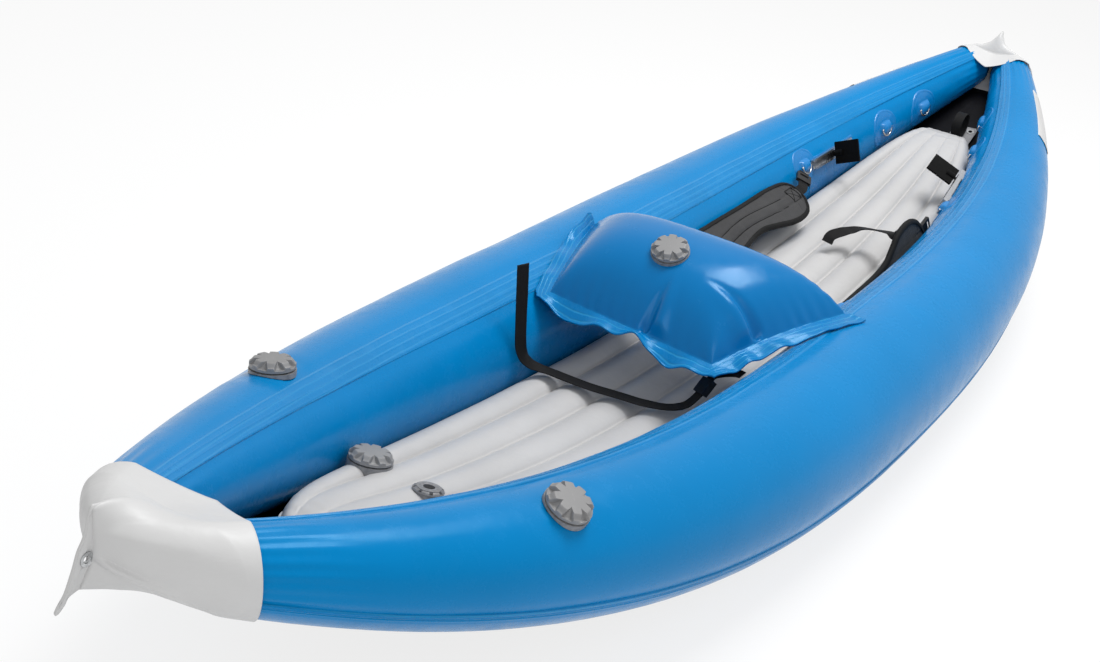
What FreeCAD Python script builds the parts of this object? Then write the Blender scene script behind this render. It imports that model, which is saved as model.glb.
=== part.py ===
import FreeCAD, Part
import math
import os
from FreeCAD import Placement, Rotation, Vector

os.makedirs("parts", exist_ok=True)

# A one-person inflatable kayak. Millimetres, +X to the bow, +Y to port, +Z up.
# The origin is under the middle of the overall length, on the ground it rests on.

# ---- hull lines: two side tubes that close in and rise towards the ends ----
overall_length = 3194.0
widest_x = 19.0  # the widest station lies this far forward of the middle
half_length = overall_length / 2 - 73.0  # from the widest station to the ends of the tubes' lines
spread_mid = 314.0  # tube centre line from the keel line, at the widest station
spread_end = 37.0
spread_power = 2.9
tube_radius_mid = 139.0
tube_radius_end = 43.3
taper_power = 2.15
rocker_rise = 256.0  # how far the tubes' centre lines climb to their ends
rocker_power = 2.42

# ---- fabric ----
tube_wall = 1.2
floor_wall = 1.0
cushion_wall = 1.2
bottom_wall = 1.5
tape_thick = 0.8
patch_thick = 1.2
cap_wall = 1.6
weld_gap = 0.3  # left between two pieces that are welded or lie on each other

# ---- seams and strips round a tube: 0 is outboard, 90 on top, 180 inboard ----
tube_end_stern = overall_length / 2 - 159.0
tube_end_bow = overall_length / 2 - 94.0
tube_panels = 7  # each tube is welded together from this many lengths
panel_gap = 0.3
inner_tape_from = 108.0
inner_tape_to = 131.0
chafe_strip_edge = -28.0
lower_tape_width = 6.0  # degrees round the tube
cap_ring_stern = tube_end_stern - 43.0  # where the cap's edge crosses the top of each tube
cap_ring_bow = tube_end_bow - 19.0
cap_peak_stern = 472.0
cap_peak_bow = 482.0
cap_peak_back = 54.0  # the peak's corner stands this far inside the overall length
cap_top_reach = {"stern": 0.72, "bow": 0.5}  # share of the way to the peak where the two sheets meet
cap_low_reach = {"stern": 0.6, "bow": 0.34}
cap_clear = 1.2  # the sleeve's inside stands this far off the strips round the tubes
cap_tab_z = 357.0
cap_tab_drop = 16.0
cap_blade = 3.2
cap_eyelet_back = 45.0
cut_reach = 400.0  # how far the cutting solids reach beyond what they cut

# ---- inflatable floor ----
floor_length = overall_length - 718.0
floor_mid_x = 38.0
floor_height = 118.0
floor_thinning = 0.28  # share of the height lost towards the tips
floor_side_gap = 11.0
channel_depth = 14.0
web_thick = 1.0
bow_tab_length = 84.0
bow_tab_width = 60.0
bow_tab_y = -20.0
bow_tab_thick = 2.5
bow_tab_slope = 22.0
eyelet_bore = 5.0
eyelet_lip = 9.0
bow_loop_radius = 30.0
bow_loop_width = 25.0
bow_loop_back = 39.0

# ---- valves with caps: on both tubes, the floor and the backrest ----
tube_valve_x = 446.0 - tube_end_stern
tube_valve_angle = {"port": 84.0, "starboard": 66.0}
floor_valve_x = floor_mid_x - floor_length / 2 + 268.0
relief_valve_x = floor_valve_x - 6.0
relief_valve_y = -14.0
barrel_radius = 17.0
barrel_wall = 3.5
barrel_depth = 38.0
collar_height = 6.5
flange_radius = 35.0
flange_height = 2.5
clamp_radius = 27.0
clamp_depth = {"port": 7.0, "starboard": 7.0, "floor": 14.5, "backrest": 7.0}
floor_valve_in = 5.0  # the floor's valve stands this far inboard of the outer channel's crest
cap_radius = 34.0
cap_height = 14.0
cap_notches = 8
seal_height = 1.4
stem_radius = 2.9
button_radius = 6.0
stem_travel = 6.0
slide_gap = 0.3
spring_wire = 1.0
spring_turns = 5
relief_ring_radius = 23.0
relief_barrel = 11.0
relief_notches = 8
relief_dome = 7.0

# ---- backrest, an inflated pillow lying across the tubes ----
backrest_front_x = -30.0
backrest_front_y = {"port": 302.0, "starboard": -306.0}
backrest_front_z = 284.0
backrest_aft = {"port": Vector(-333, 214, 252), "starboard": Vector(-343, -171, 229)}
backrest_edge_lift = 13.0
backrest_crown = 95.0
backrest_belly = 57.0
backrest_rim = 3.0
backrest_valve_u = 0.58
backrest_valve_v = 0.507

# ---- rings, pads and rails on the tubes' inboard walls ----
ring_places = [(766.0, 152.0), (1110.0, 166.0), (1262.0, 172.0)]  # station and angle
patch_radius = 45.0
ring_wire = 2.5
ring_half = 17.5
keeper_length = 24.0
keeper_height = 9.0
side_patch_from = tube_end_bow - 328.0
side_patch_to = tube_end_bow - 118.0
side_patch_low = 21.0
side_patch_high = 56.0
rail_pad_from = 784.0
rail_pad_to = 976.0
rail_from = 790.0
rail_to = 960.0
rail_angle = 155.0
rail_width = 24.0
rail_depth = 10.0
rail_sheet = 2.0
rail_stand_off = 5.0
rail_tooth_pitch = 10.0
slider_length = 36.0
slider_x = {"port": 875.0, "starboard": 925.0}
pedal_pitch = {"port": 18.0, "starboard": 73.0}
pedal_width = 66.0
pedal_height = 53.0
pedal_thick = 5.0
pedal_pin = 4.0
pin_gap = 0.08

# ---- thigh straps ----
thigh_front = {"port": Vector(732, 158, 240), "starboard": Vector(741, 150, 203)}  # the strap's anchors
thigh_rear = Vector(112, 181, 203)
thigh_tilt = {"port": 27.0, "starboard": 100.0}  # how steeply the pad hangs inboard
thigh_top = {"port": Vector(546, 178, 233), "starboard": Vector(546, 145, 240)}
thigh_rise = 0.06  # the pad climbs this much towards the bow
pad_thick = 10.0
webbing_width = 25.0
webbing_thick = 1.8
buckle_length = 30.0
buckle_width = 36.0
buckle_thick = 8.0
buckle_room = 4.4  # how much higher and wider the buckle's slot is than the webbing

keel_build = bottom_wall + weld_gap  # the bottom fabric under the tubes


# ---- hull surface ----
def run(x):
    return abs(x - widest_x) / half_length


def spread(x):
    return spread_mid - (spread_mid - spread_end) * run(x) ** spread_power


def rise(x):
    return keel_build + tube_radius_mid + rocker_rise * run(x) ** rocker_power


def tube_radius(x):
    return tube_radius_mid - (tube_radius_mid - tube_radius_end) * run(x) ** taper_power


def slope(line, x):
    return line(x + 0.5) - line(x - 0.5)


def half_width(x):
    return tube_radius(x) * math.hypot(1, slope(spread, x))


def half_height(x):
    return tube_radius(x) * math.hypot(1, slope(rise, x))


def tube_point(x, angle, out=0.0):
    a = math.radians(angle)
    y = spread(x) + (half_width(x) + out) * math.cos(a)
    return Vector(x, y, rise(x) + (half_height(x) + out) * math.sin(a))


def wall_y(x, z):
    # the inboard wall of the port tube at height z
    share = min(1.0, abs(z - rise(x)) / half_height(x))
    return spread(x) - half_width(x) * math.sqrt(1 - share**2)


def bottom_top(x):
    # upper face of the bottom fabric between the tubes
    return rise(x) - half_height(x) - weld_gap


# ---- geometry helpers ----
def unit(v):
    return v / v.Length


def blend(a, b, t):
    return a + (b - a) * t


def place(origin, x_axis, z_axis):
    z = unit(z_axis)
    x = unit(x_axis - z * x_axis.dot(z))
    return Placement(origin, Rotation(x, z.cross(x), z, "ZXY"))


def put(shape, placement):
    moved = shape.copy()
    moved.Placement = placement.multiply(moved.Placement)
    return moved


def mirrored(shape):
    return shape.mirror(Vector(0, 0, 0), Vector(0, 1, 0))


def even(first, last, count):
    return [blend(first, last, i / (count - 1)) for i in range(count)]


def spline(points, closed=False):
    curve = Part.BSplineCurve()
    knots = [float(i) for i in range(len(points) + (1 if closed else 0))]
    curve.interpolate(Points=points, PeriodicFlag=closed, Parameters=knots)
    return curve.toShape()


def loft(wires, straight=False):
    return Part.makeLoft(wires, True, straight)


def polygon(points):
    return Part.makePolygon(points + [points[0]])


def box(lx, ly, lz, centre):
    return Part.makeBox(lx, ly, lz, centre - Vector(lx / 2, ly / 2, lz / 2))


def disc(radius, z0, z1, x=0.0, y=0.0):
    return Part.makeCylinder(radius, z1 - z0, Vector(x, y, z0))


def washer(outer, inner, z0, z1):
    return disc(outer, z0, z1).cut(disc(inner, z0 - 1, z1 + 1))


def resample(points, count):
    # the same closed outline with its points evenly spaced
    ring = points + [points[0]]
    steps = [(ring[i + 1] - ring[i]).Length for i in range(len(points))]
    total = sum(steps)
    out = []
    i = 0
    gone = 0.0
    for k in range(count):
        want = total * k / count
        while gone + steps[i] < want:
            gone += steps[i]
            i += 1
        out.append(blend(ring[i], ring[i + 1], (want - gone) / steps[i]))
    return out


def tube_place(x, angle, out=0.0):
    # local x along the tube, z out of its wall
    along = tube_point(x + 1, angle) - tube_point(x - 1, angle)
    around = tube_point(x, angle + 0.5) - tube_point(x, angle - 0.5)
    return place(tube_point(x, angle, out), along, around.cross(along))


# ---- hull ----
def tube_solid(inset):
    wires = []
    for x in even(-tube_end_stern + inset, tube_end_bow - inset, 23):
        wires.append(Part.Wire([spline([tube_point(x, 15 * k, -inset) for k in range(24)], True)]))
    return loft(wires)


def welded_tube(skin):
    # the tube's skin, parted where its lengths are welded end to end
    parted = skin
    for x in even(-tube_end_stern, tube_end_bow, tube_panels + 1)[1:-1]:
        parted = parted.cut(box(panel_gap, cut_reach, cut_reach, Vector(x, spread(x), rise(x))))
    return parted


def wall_strip(x0, x1, angle0, angle1, out, thick, count, points=7):
    # a band of fabric that lies on the tube's wall
    wires = []
    angles = even(angle0, angle1, points)
    for x in even(x0, x1, count):
        low = [tube_point(x, a, out) for a in angles]
        high = [tube_point(x, a, out + thick) for a in angles]
        sides = [Part.makeLine(low[-1], high[-1]), Part.makeLine(high[0], low[0])]
        wires.append(Part.Wire([spline(low), sides[0], spline(high[::-1]), sides[1]]))
    return loft(wires)


def bottom_panel():
    wires = []
    for x in even(-tube_end_stern, tube_end_bow, 17):
        y = spread(x) - weld_gap
        top = bottom_top(x)
        low = top - bottom_wall
        wires.append(polygon([Vector(x, -y, low), Vector(x, y, low), Vector(x, y, top), Vector(x, -y, top)]))
    return loft(wires)


def chafe_strip():
    return wall_strip(-tube_end_stern, tube_end_bow, -90, chafe_strip_edge, weld_gap, bottom_wall, 17)


def seam_tapes():
    inner = wall_strip(
        2 - tube_end_stern, tube_end_bow - 2, inner_tape_from, inner_tape_to, weld_gap, tape_thick, 17
    )
    low = chafe_strip_edge + 0.4
    lower = wall_strip(
        2 - tube_end_stern, tube_end_bow - 2, low, low + lower_tape_width, weld_gap, tape_thick, 17, 4
    )
    return [inner, lower, mirrored(inner), mirrored(lower)]


def stadium(x, out):
    # outline round both tubes, with the fabric drawn straight from one to the other
    port = [tube_point(x, a, out) for a in even(0, 90, 7)]
    across = [Vector(x, port[-1].y * t, port[-1].z) for t in (0.6, 0.2, -0.2, -0.6)]
    far = [Vector(x, -p.y, p.z) for p in port[::-1]]
    upper = port + across + far
    under = [tube_point(x, a, out) for a in even(-90, -13, 6)]
    back = [Vector(x, -p.y, p.z) for p in under[::-1]]
    belly = [Vector(x, under[0].y * t, under[0].z) for t in (-0.6, -0.2, 0.2, 0.6)]
    return resample(upper + back + belly + under, 36)


def fin_reach(way, tube_end):
    # where the sleeve's top and foot run out into the fin
    name = "bow" if way > 0 else "stern"
    end_x = overall_length / 2
    top = blend(tube_end, end_x - cap_peak_back, cap_top_reach[name])
    return top, blend(tube_end, end_x, cap_low_reach[name])


def fin_section(way, tube_end, peak_z, build, blade, share, count=36):
    # a section of the cap between the tubes' outline and the upright fin, in a leaning plane
    top_x, low_x = fin_reach(way, tube_end)
    margin = cap_blade - blade
    low_z = cap_tab_z + cap_tab_drop + 6 + margin
    top_z = peak_z - 5 - margin
    mid_z = (low_z + top_z) / 2
    thin = [Vector(0, blade / 2, mid_z), Vector(0, blade / 2, top_z - blade / 2), Vector(0, 0, top_z)]
    thin += [Vector(0, -p.y, p.z) for p in thin[1::-1]]
    thin += [Vector(0, p.y, 2 * mid_z - p.z) for p in thin[3:0:-1]]
    thin = resample(thin, count)
    wide = stadium(way * (tube_end + 2), build)
    mixed = [blend(p, q, share) for p, q in zip(wide, thin)]
    bottom = min(p.z for p in mixed)
    height = max(p.z for p in mixed) - bottom
    points = []
    for p in mixed:
        reach = blend(low_x, top_x, (p.z - bottom) / height)
        points.append(Vector(way * blend(tube_end + 2, reach, share), p.y, p.z))
    return points


def end_cap(way, ring_x, tube_end, peak_z):
    # the sleeve over both tubes' ends, drawn together into a flat fin with a tab at its foot
    build = keel_build + cap_clear
    ring_y = spread(way * ring_x)
    lean = abs(slope(spread, way * ring_x))
    start = ring_x - lean * ring_y - 4
    solids = []
    for out, blade, back in ((build + cap_wall, cap_blade + 3, 0), (build, 0.2, 6)):
        rings = [stadium(way * x, out) for x in [start - back] + even(start, tube_end + 2, 5)[1:4]]
        shares = (0, 0.25, 0.5, 0.75, 1) if back == 0 else (0, 0.25, 0.5, 0.75)
        rings += [fin_section(way, tube_end, peak_z, out, blade, s) for s in shares]
        solids.append(loft([Part.Wire([spline(ring, True)]) for ring in rings], True))
    end_x = overall_length / 2
    fin_x, fin_low_x = fin_reach(way, tube_end)
    fin = [
        Vector(way * (fin_x - 12), 0, peak_z - 14),
        Vector(way * (fin_x + 4), 0, peak_z - 4),
        Vector(way * (end_x - cap_peak_back), 0, peak_z),
        Vector(way * (end_x - 29), 0, cap_tab_z + 46),
        Vector(way * (end_x - 15), 0, cap_tab_z + 20),
        Vector(way * end_x, 0, cap_tab_z),
        Vector(way * (end_x - 18), 0, cap_tab_z + 14),
        Vector(way * (fin_low_x - 8), 0, cap_tab_z + cap_tab_drop + 12),
    ]
    plate = Part.Face(polygon(fin)).extrude(Vector(0, cap_blade, 0))
    plate.translate(Vector(0, -cap_blade / 2, 0))
    cap = solids[0].cut(solids[1]).fuse(plate.cut(solids[1]))
    for side in (1, -1):
        # the sleeve's edge runs square across each tube
        beyond = [
            Vector(way * (ring_x - lean * ring_y), 0, 0),
            Vector(way * (ring_x + lean * (cut_reach - ring_y)), side * cut_reach, 0),
            Vector(way * (ring_x - cut_reach), side * cut_reach, 0),
            Vector(way * (ring_x - cut_reach), 0, 0),
        ]
        cap = cap.cut(Part.Face(polygon(beyond)).extrude(Vector(0, 0, 2 * cut_reach)))
    start_of_hole = cap_eyelet(way, peak_z) - Vector(0, 10, 0)
    hole = Part.makeCylinder(eyelet_bore + 1, 20, start_of_hole, Vector(0, 1, 0))
    return cap.cut(hole)


def cap_eyelet(way, peak_z):
    return Vector(way * (overall_length / 2 - cap_eyelet_back), 0, blend(cap_tab_z, peak_z, 0.45))


def eyelet(thick):
    # a rolled metal eyelet through fabric, its axis on local z
    lip = washer(eyelet_lip, eyelet_bore, thick / 2 + 0.1, thick / 2 + 1.1)
    foot = washer(eyelet_lip, eyelet_bore, -thick / 2 - 1.1, -thick / 2 - 0.1)
    throat = washer(eyelet_bore + 0.8, eyelet_bore, -thick / 2 - 0.6, thick / 2 + 0.6)
    return lip.fuse([foot, throat])


def side_patches():
    patch = wall_strip(
        side_patch_from, side_patch_to, side_patch_low, side_patch_high, weld_gap, tape_thick, 5
    )
    return [patch, mirrored(patch)]


# ---- floor ----
def floor_share(x):
    return (x - floor_mid_x) / (floor_length / 2)


def floor_half_height(x):
    s = abs(floor_share(x))
    return floor_height / 2 * (1 - floor_thinning * s * s) * math.sqrt(1 - s**24)


def floor_mid_z(x):
    return bottom_top(x) + weld_gap + floor_half_height(x)


def floor_half_width(x):
    reach = wall_y(x, floor_mid_z(x)) - floor_side_gap
    return reach * math.sqrt(1 - abs(floor_share(x)) ** 20)


def channel(x):
    # valley places, valley depth and outer crest of the lengthwise channels
    w = floor_half_width(x)
    t = floor_half_height(x)
    return 0.2 * w, 0.6 * w, channel_depth * t / (floor_height / 2), w - 0.8 * t


def floor_section(x, inset):
    inner, outer, dip, crest = channel(x)
    w = floor_half_width(x) - inset
    t = floor_half_height(x) - inset
    crest = max(crest, outer + 0.3 * (w - outer))
    mid = floor_mid_z(x)
    side = [(outer, t - dip), ((outer + crest) / 2, t - dip / 4), (crest, t)]
    side += [(crest + (w - crest) * math.sin(a), t * math.cos(a)) for a in (0.5, 1.05)]
    side = side + [(w, 0)] + [(y, -z) for y, z in side[::-1]]
    right = [Vector(x, y, mid + z) for y, z in side]
    left = [Vector(x, -v.y, v.z) for v in right[::-1]]

    def arc(y0, y1, sign):
        ends = [Vector(x, y, mid + sign * (t - dip)) for y in (y0, y1)]
        return Part.Arc(ends[0], Vector(x, (y0 + y1) / 2, mid + sign * t), ends[1]).toShape()

    under = [arc(outer, inner, -1), arc(inner, -inner, -1), arc(-inner, -outer, -1)]
    over = [arc(-outer, -inner, 1), arc(-inner, inner, 1), arc(inner, outer, 1)]
    return Part.Wire([spline(right)] + under + [spline(left)] + over)


def floor_x(shares):
    half = [floor_mid_x + s * floor_length / 2 for s in shares]
    return [2 * floor_mid_x - x for x in half[:0:-1]] + half


floor_stations = [0, 0.22, 0.44, 0.62, 0.77, 0.87, 0.93, 0.965, 0.985, 0.995]


def floor_solid():
    return loft([floor_section(x, 0.0) for x in floor_x(floor_stations)])


def floor_air():
    return loft([floor_section(x, floor_wall) for x in floor_x(floor_stations[:-1])])


def floor_webs():
    # upright webs that hold the top to the bottom along each valley
    webs = []
    for line in (0, 1):
        wires = []
        for x in floor_x(floor_stations[:-2]):
            y = channel(x)[line]
            tall = floor_half_height(x) - floor_wall - channel(x)[2] - weld_gap
            y0 = y - web_thick / 2
            y1 = y + web_thick / 2
            mid = floor_mid_z(x)
            corners = [(y0, -tall), (y1, -tall), (y1, tall), (y0, tall)]
            wires.append(polygon([Vector(x, a, mid + b) for a, b in corners]))
        web = loft(wires)
        webs += [web, mirrored(web)]
    return webs


def floor_top_place(x, y):
    # on a channel's crest, local z square to the floor's top along its length
    def crest_z(at):
        return floor_mid_z(at) + floor_half_height(at)

    along = Vector(1, 0, slope(crest_z, x))
    return place(Vector(x, y, crest_z(x)), along, Vector(-along.z, 0, 1))


def bow_tab_place():
    x = floor_x(floor_stations)[-1] + 3 * weld_gap
    angle = math.radians(bow_tab_slope)
    along = Vector(math.cos(angle), 0, math.sin(angle))
    return place(Vector(x, bow_tab_y, floor_mid_z(x)), along, Vector(-along.z, 0, along.x))


def tab_eyelet_spots():
    return [Vector(bow_tab_length - 16, side * (bow_tab_width / 2 - 15), 0) for side in (1, -1)]


def bow_tab():
    tab = box(bow_tab_length, bow_tab_width, bow_tab_thick, Vector(bow_tab_length / 2, 0, 0))
    for spot in tab_eyelet_spots():
        tab = tab.cut(disc(eyelet_bore + 1, -9, 9, spot.x, spot.y))
    return put(tab, bow_tab_place())


def tab_eyelets():
    made = []
    for spot in tab_eyelet_spots():
        made.append(put(put(eyelet(bow_tab_thick), Placement(spot, Rotation())), bow_tab_place()))
    return made


def bow_loop():
    # a ring of webbing standing on the tab
    r = bow_loop_radius
    lift = r + webbing_thick + bow_tab_thick / 2 + weld_gap
    ring = washer(r + webbing_thick, r, -bow_loop_width / 2, bow_loop_width / 2)
    ring = put(ring, Placement(Vector(0, 0, 0), Rotation(Vector(1, 0, 0), 90)))
    spot = Placement(Vector(bow_tab_length - bow_loop_back, 6, lift), Rotation())
    return put(ring, bow_tab_place().multiply(spot))


# ---- valves, each made with its axis on local z and the skin at z = 0 ----
def valve_body(skin, clamp):
    # skin is the solid the flange lies on, in the valve's own frame; clamp is how deep its clamp ring sits
    saddle = washer(flange_radius, barrel_radius, -12, flange_height).cut(skin)
    bore = barrel_radius - barrel_wall
    barrel = washer(barrel_radius, bore, -barrel_depth, flange_height + collar_height)
    ring = washer(clamp_radius, barrel_radius - 0.5, -clamp - 3, -clamp)
    lip = washer(bore + 0.5, bore - 2.5, -24, -20)
    hub = washer(button_radius, stem_radius + slide_gap, -12, -9)
    body = saddle.fuse([barrel, ring, lip, hub])
    for k in range(3):
        spoke = box(bore - button_radius + 2, 4, 3, Vector((bore + button_radius) / 2 - 0.2, 0, -10.5))
        spoke.rotate(Vector(0, 0, 0), Vector(0, 0, 1), 120 * k)
        body = body.fuse(spoke)
    return body


def valve_hole():
    return disc(barrel_radius + slide_gap, -20, 20)


def valve_stem():
    head = flange_height + collar_height - 4
    sealing = disc(barrel_radius - barrel_wall - 1.2, -27.5, -24.5)
    return sealing.fuse([disc(stem_radius, -25, head + 1), disc(button_radius, head, head + 2.5)])


def coil(radius, z0, z1):
    pitch = (z1 - z0) / spring_turns
    path = Part.makeHelix(pitch, z1 - z0, radius)
    ring = Part.Wire([Part.Circle(Vector(radius, 0, 0), Vector(0, 1, 0), spring_wire / 2).toShape()])
    wire = Part.Wire(path.Edges).makePipeShell([ring], True, True)
    wire.translate(Vector(0, 0, z0))
    return wire


def valve_spring():
    head = flange_height + collar_height - 4
    return coil(button_radius - 1.4, -9 + spring_wire / 2 + 0.2, head - spring_wire / 2 - 0.2)


def valve_seal():
    z = flange_height + slide_gap
    return washer(cap_radius - 3, barrel_radius + 3, z, z + seal_height)


def valve_cap():
    z0 = flange_height + seal_height + 2 * slide_gap
    inner = barrel_radius + 0.5
    cap = disc(cap_radius, z0, z0 + cap_height)
    cap = cap.cut(disc(inner, z0 - 1, flange_height + collar_height + 2.5))
    for k in range(cap_notches):
        notch = disc(5.0, z0 + 4, z0 + cap_height + 1, cap_radius, 0)
        notch.rotate(Vector(0, 0, 0), Vector(0, 0, 1), 360 / cap_notches * k)
        cap = cap.cut(notch)
    return cap


def relief_body(skin):
    saddle = washer(relief_ring_radius, relief_barrel, -12, relief_dome - 2.5).cut(skin)
    saddle = saddle.fuse(washer(relief_ring_radius - 4, relief_barrel, relief_dome - 3, relief_dome))
    for k in range(relief_notches):
        notch = disc(2.6, 2, relief_dome + 1, relief_ring_radius - 1, 0)
        notch.rotate(Vector(0, 0, 0), Vector(0, 0, 1), 360 / relief_notches * k)
        saddle = saddle.cut(notch)
    barrel = washer(relief_barrel, relief_barrel - 2, -34, relief_dome)
    seat = washer(relief_barrel - 1.5, relief_barrel - 4.5, -14, -11)
    guide = washer(3.6, 1.8, -22, -20)
    body = saddle.fuse([barrel, seat, guide])
    for k in range(3):
        spoke = box(relief_barrel - 4, 2.4, 2, Vector(relief_barrel / 2 + 1, 0, -21))
        spoke.rotate(Vector(0, 0, 0), Vector(0, 0, 1), 120 * k)
        body = body.fuse(spoke)
    return body


def relief_stem():
    # the poppet sits on the seat and its foot squeezes the spring as it lifts
    return disc(relief_barrel - 3.0, -10.7, -8.7).fuse([disc(1.5, -32, -9), disc(4.2, -33, -31.5)])


def relief_spring():
    return coil(2.8, -30.8, -22.7)


# ---- backrest ----
def backrest_edge(side, u):
    front = Vector(backrest_front_x, backrest_front_y[side], backrest_front_z)
    edge = blend(front, backrest_aft[side], u)
    edge.z += backrest_edge_lift * math.sin(math.pi * u)
    return edge


def fullness(t, power):
    return max(0.0, 1 - abs(2 * t - 1) ** power)


def backrest_point(u, v, up, inset=0.0):
    base = blend(backrest_edge("starboard", u), backrest_edge("port", u), v)
    swell = fullness(u**0.8, 2.6)
    high = swell * (backrest_crown * fullness(v, 2.6) if up else -backrest_belly * fullness(v, 2.0))
    half = backrest_rim / 2 - inset
    return base + Vector(0, 0, high + (half if up else -half))


def backrest_section(u, v0, v1, inset):
    over = [backrest_point(u, v, True, inset) for v in even(v0, v1, 11)]
    under = [backrest_point(u, v, False, inset) for v in even(v1, v0, 11)]
    sides = [Part.makeLine(over[-1], under[0]), Part.makeLine(under[-1], over[0])]
    return Part.Wire([spline(over), sides[0], spline(under), sides[1]])


def backrest_solid():
    stations = (0, 0.05, 0.13, 0.25, 0.4, 0.55, 0.7, 0.83, 0.93, 1)
    return loft([backrest_section(u, 0, 1, 0.0) for u in stations])


def backrest_air():
    stations = (0.07, 0.14, 0.25, 0.4, 0.55, 0.7, 0.82, 0.92)
    return loft([backrest_section(u, 0.06, 0.94, cushion_wall) for u in stations])


def backrest_valve_place():
    u = backrest_valve_u
    v = backrest_valve_v
    along = backrest_point(u - 0.01, v, True) - backrest_point(u + 0.01, v, True)
    across = backrest_point(u, v + 0.01, True) - backrest_point(u, v - 0.01, True)
    return place(backrest_point(u, v, True), along, along.cross(across))


# ---- rings and what holds them ----
def ring_place(x, angle):
    # local x along the ring's bar, z out of the wall, the ring hanging to local -y
    return tube_place(x, angle, weld_gap + patch_thick + keeper_height / 2 + 0.4)


def ring_patch(x, angle):
    reach = math.degrees(patch_radius / tube_radius(x)) + 4
    low = max(angle - reach, inner_tape_to + 1)
    fore = x + patch_radius + 8
    if x < rail_pad_from < fore:
        fore = rail_pad_from - weld_gap
    patch = wall_strip(x - patch_radius - 8, fore, low, angle + reach, weld_gap, patch_thick, 5)
    patch = patch.common(put(disc(patch_radius, -30, 20), tube_place(x, angle)))
    keeper = box(keeper_length, 11, keeper_height, Vector(0, 0, 0))
    keeper = keeper.cut(Part.makeCylinder(ring_wire + 0.35, 60, Vector(-30, 0, 0), Vector(1, 0, 0)))
    return patch.fuse(put(keeper, ring_place(x, angle)))


def d_ring():
    r = ring_wire
    bar = Part.makeCylinder(r, 2 * ring_half, Vector(-ring_half, 0, 0), Vector(1, 0, 0))
    bow = Part.makeTorus(ring_half, r, Vector(0, 0, 0), Vector(0, 0, 1), 0, 360, 180)
    bow.rotate(Vector(0, 0, 0), Vector(0, 0, 1), 180)
    corners = [Part.makeSphere(r, Vector(side * ring_half, 0, 0)) for side in (1, -1)]
    return bar.fuse([bow] + corners)


def rear_anchor():
    # the square patch and webbing loop that hold the thigh strap's rear end
    patch = wall_strip(thigh_rear.x - 35, thigh_rear.x + 35, 140, 170, weld_gap, patch_thick, 3)
    return patch


# ---- foot braces ----
def rail_place():
    start = tube_point(rail_from, rail_angle)
    end = tube_point(rail_to, rail_angle)
    mid = tube_place((rail_from + rail_to) / 2, rail_angle)
    return place(mid.Base, end - start, mid.Rotation.multVec(Vector(0, 0, 1)))


def rail():
    # a channel with turned-in lips and teeth along them, on two feet
    length = rail_to - rail_from
    half = rail_width / 2
    base = rail_stand_off
    top = base + rail_depth
    middle = Vector(0, 0, base + rail_depth / 2)
    inside = box(length + 2, rail_width - 2 * rail_sheet, rail_depth - 2 * rail_sheet, middle)
    made = box(length, rail_width, rail_depth, middle).cut(inside)
    made = made.cut(box(length + 2, rail_width - 10, 9, Vector(0, 0, top)))
    count = int((length - 20) / rail_tooth_pitch)
    for k in range(count + 1):
        x = (k - count / 2) * rail_tooth_pitch
        made = made.cut(box(4, 6, 8, Vector(x, -half + 4.6, top)))
    for side in (1, -1):
        foot = box(22, rail_width - 6, rail_stand_off, Vector(side * (length / 2 - 26), 0, base / 2 + 1.5))
        foot = foot.cut(tube_pad_room())
        made = made.fuse(foot)
    return put(made, rail_place())


def tube_pad_room():
    # what the tube and the pad fill, seen from the rail's own frame
    room = wall_strip(rail_from - 30, rail_to + 30, 125, 200, -6, 6 + 2 * weld_gap + patch_thick, 5, 9)
    back = rail_place().inverse()
    return put(room, back)


def rail_pad():
    low = rail_angle - 8
    return wall_strip(rail_pad_from, rail_pad_to, low, low + 50, weld_gap, patch_thick, 5, 9)


def slider_place(side):
    offset = slider_x[side] - (rail_from + rail_to) / 2
    return rail_place().multiply(Placement(Vector(offset, 0, rail_stand_off + rail_sheet), Rotation()))


def slider():
    shoe_high = rail_depth - 2 * rail_sheet - 2 * slide_gap
    shoe_wide = rail_width - 2 * rail_sheet - 2 * slide_gap
    shoe = box(slider_length, shoe_wide, shoe_high, Vector(0, 0, shoe_high / 2 + slide_gap))
    neck = box(slider_length - 10, rail_width - 11, 6, Vector(0, 0, rail_depth - rail_sheet - 2))
    pin = disc(pedal_pin, rail_depth - 4, rail_depth + 20)
    return shoe.fuse([neck, pin])


def pedal(pitch):
    # a plate on a hub that turns on the slider's pin
    near = rail_depth + 2.0
    plate = box(pedal_height, pedal_thick, pedal_width, Vector(0, 0, near + pedal_width / 2))
    plate = plate.makeFillet(2.0, [e for e in plate.Edges if abs(e.tangentAt(e.FirstParameter).y) > 0.9])
    hub = disc(pedal_pin + 4, near, near + 22)
    made = plate.fuse(hub).cut(disc(pedal_pin + pin_gap, near - 1, near + 19.5))
    made.rotate(Vector(0, 0, 0), Vector(0, 0, 1), 90 - pitch)
    return made


# ---- thigh straps ----
def thigh_place(side):
    # local x along the pad, y up the slope towards the tube, z out of its face
    tilt = math.radians(thigh_tilt[side])
    along = Vector(1, 0, thigh_rise)
    up = Vector(0, math.cos(tilt), math.sin(tilt))
    return place(thigh_top[side], along, along.cross(up))


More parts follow.
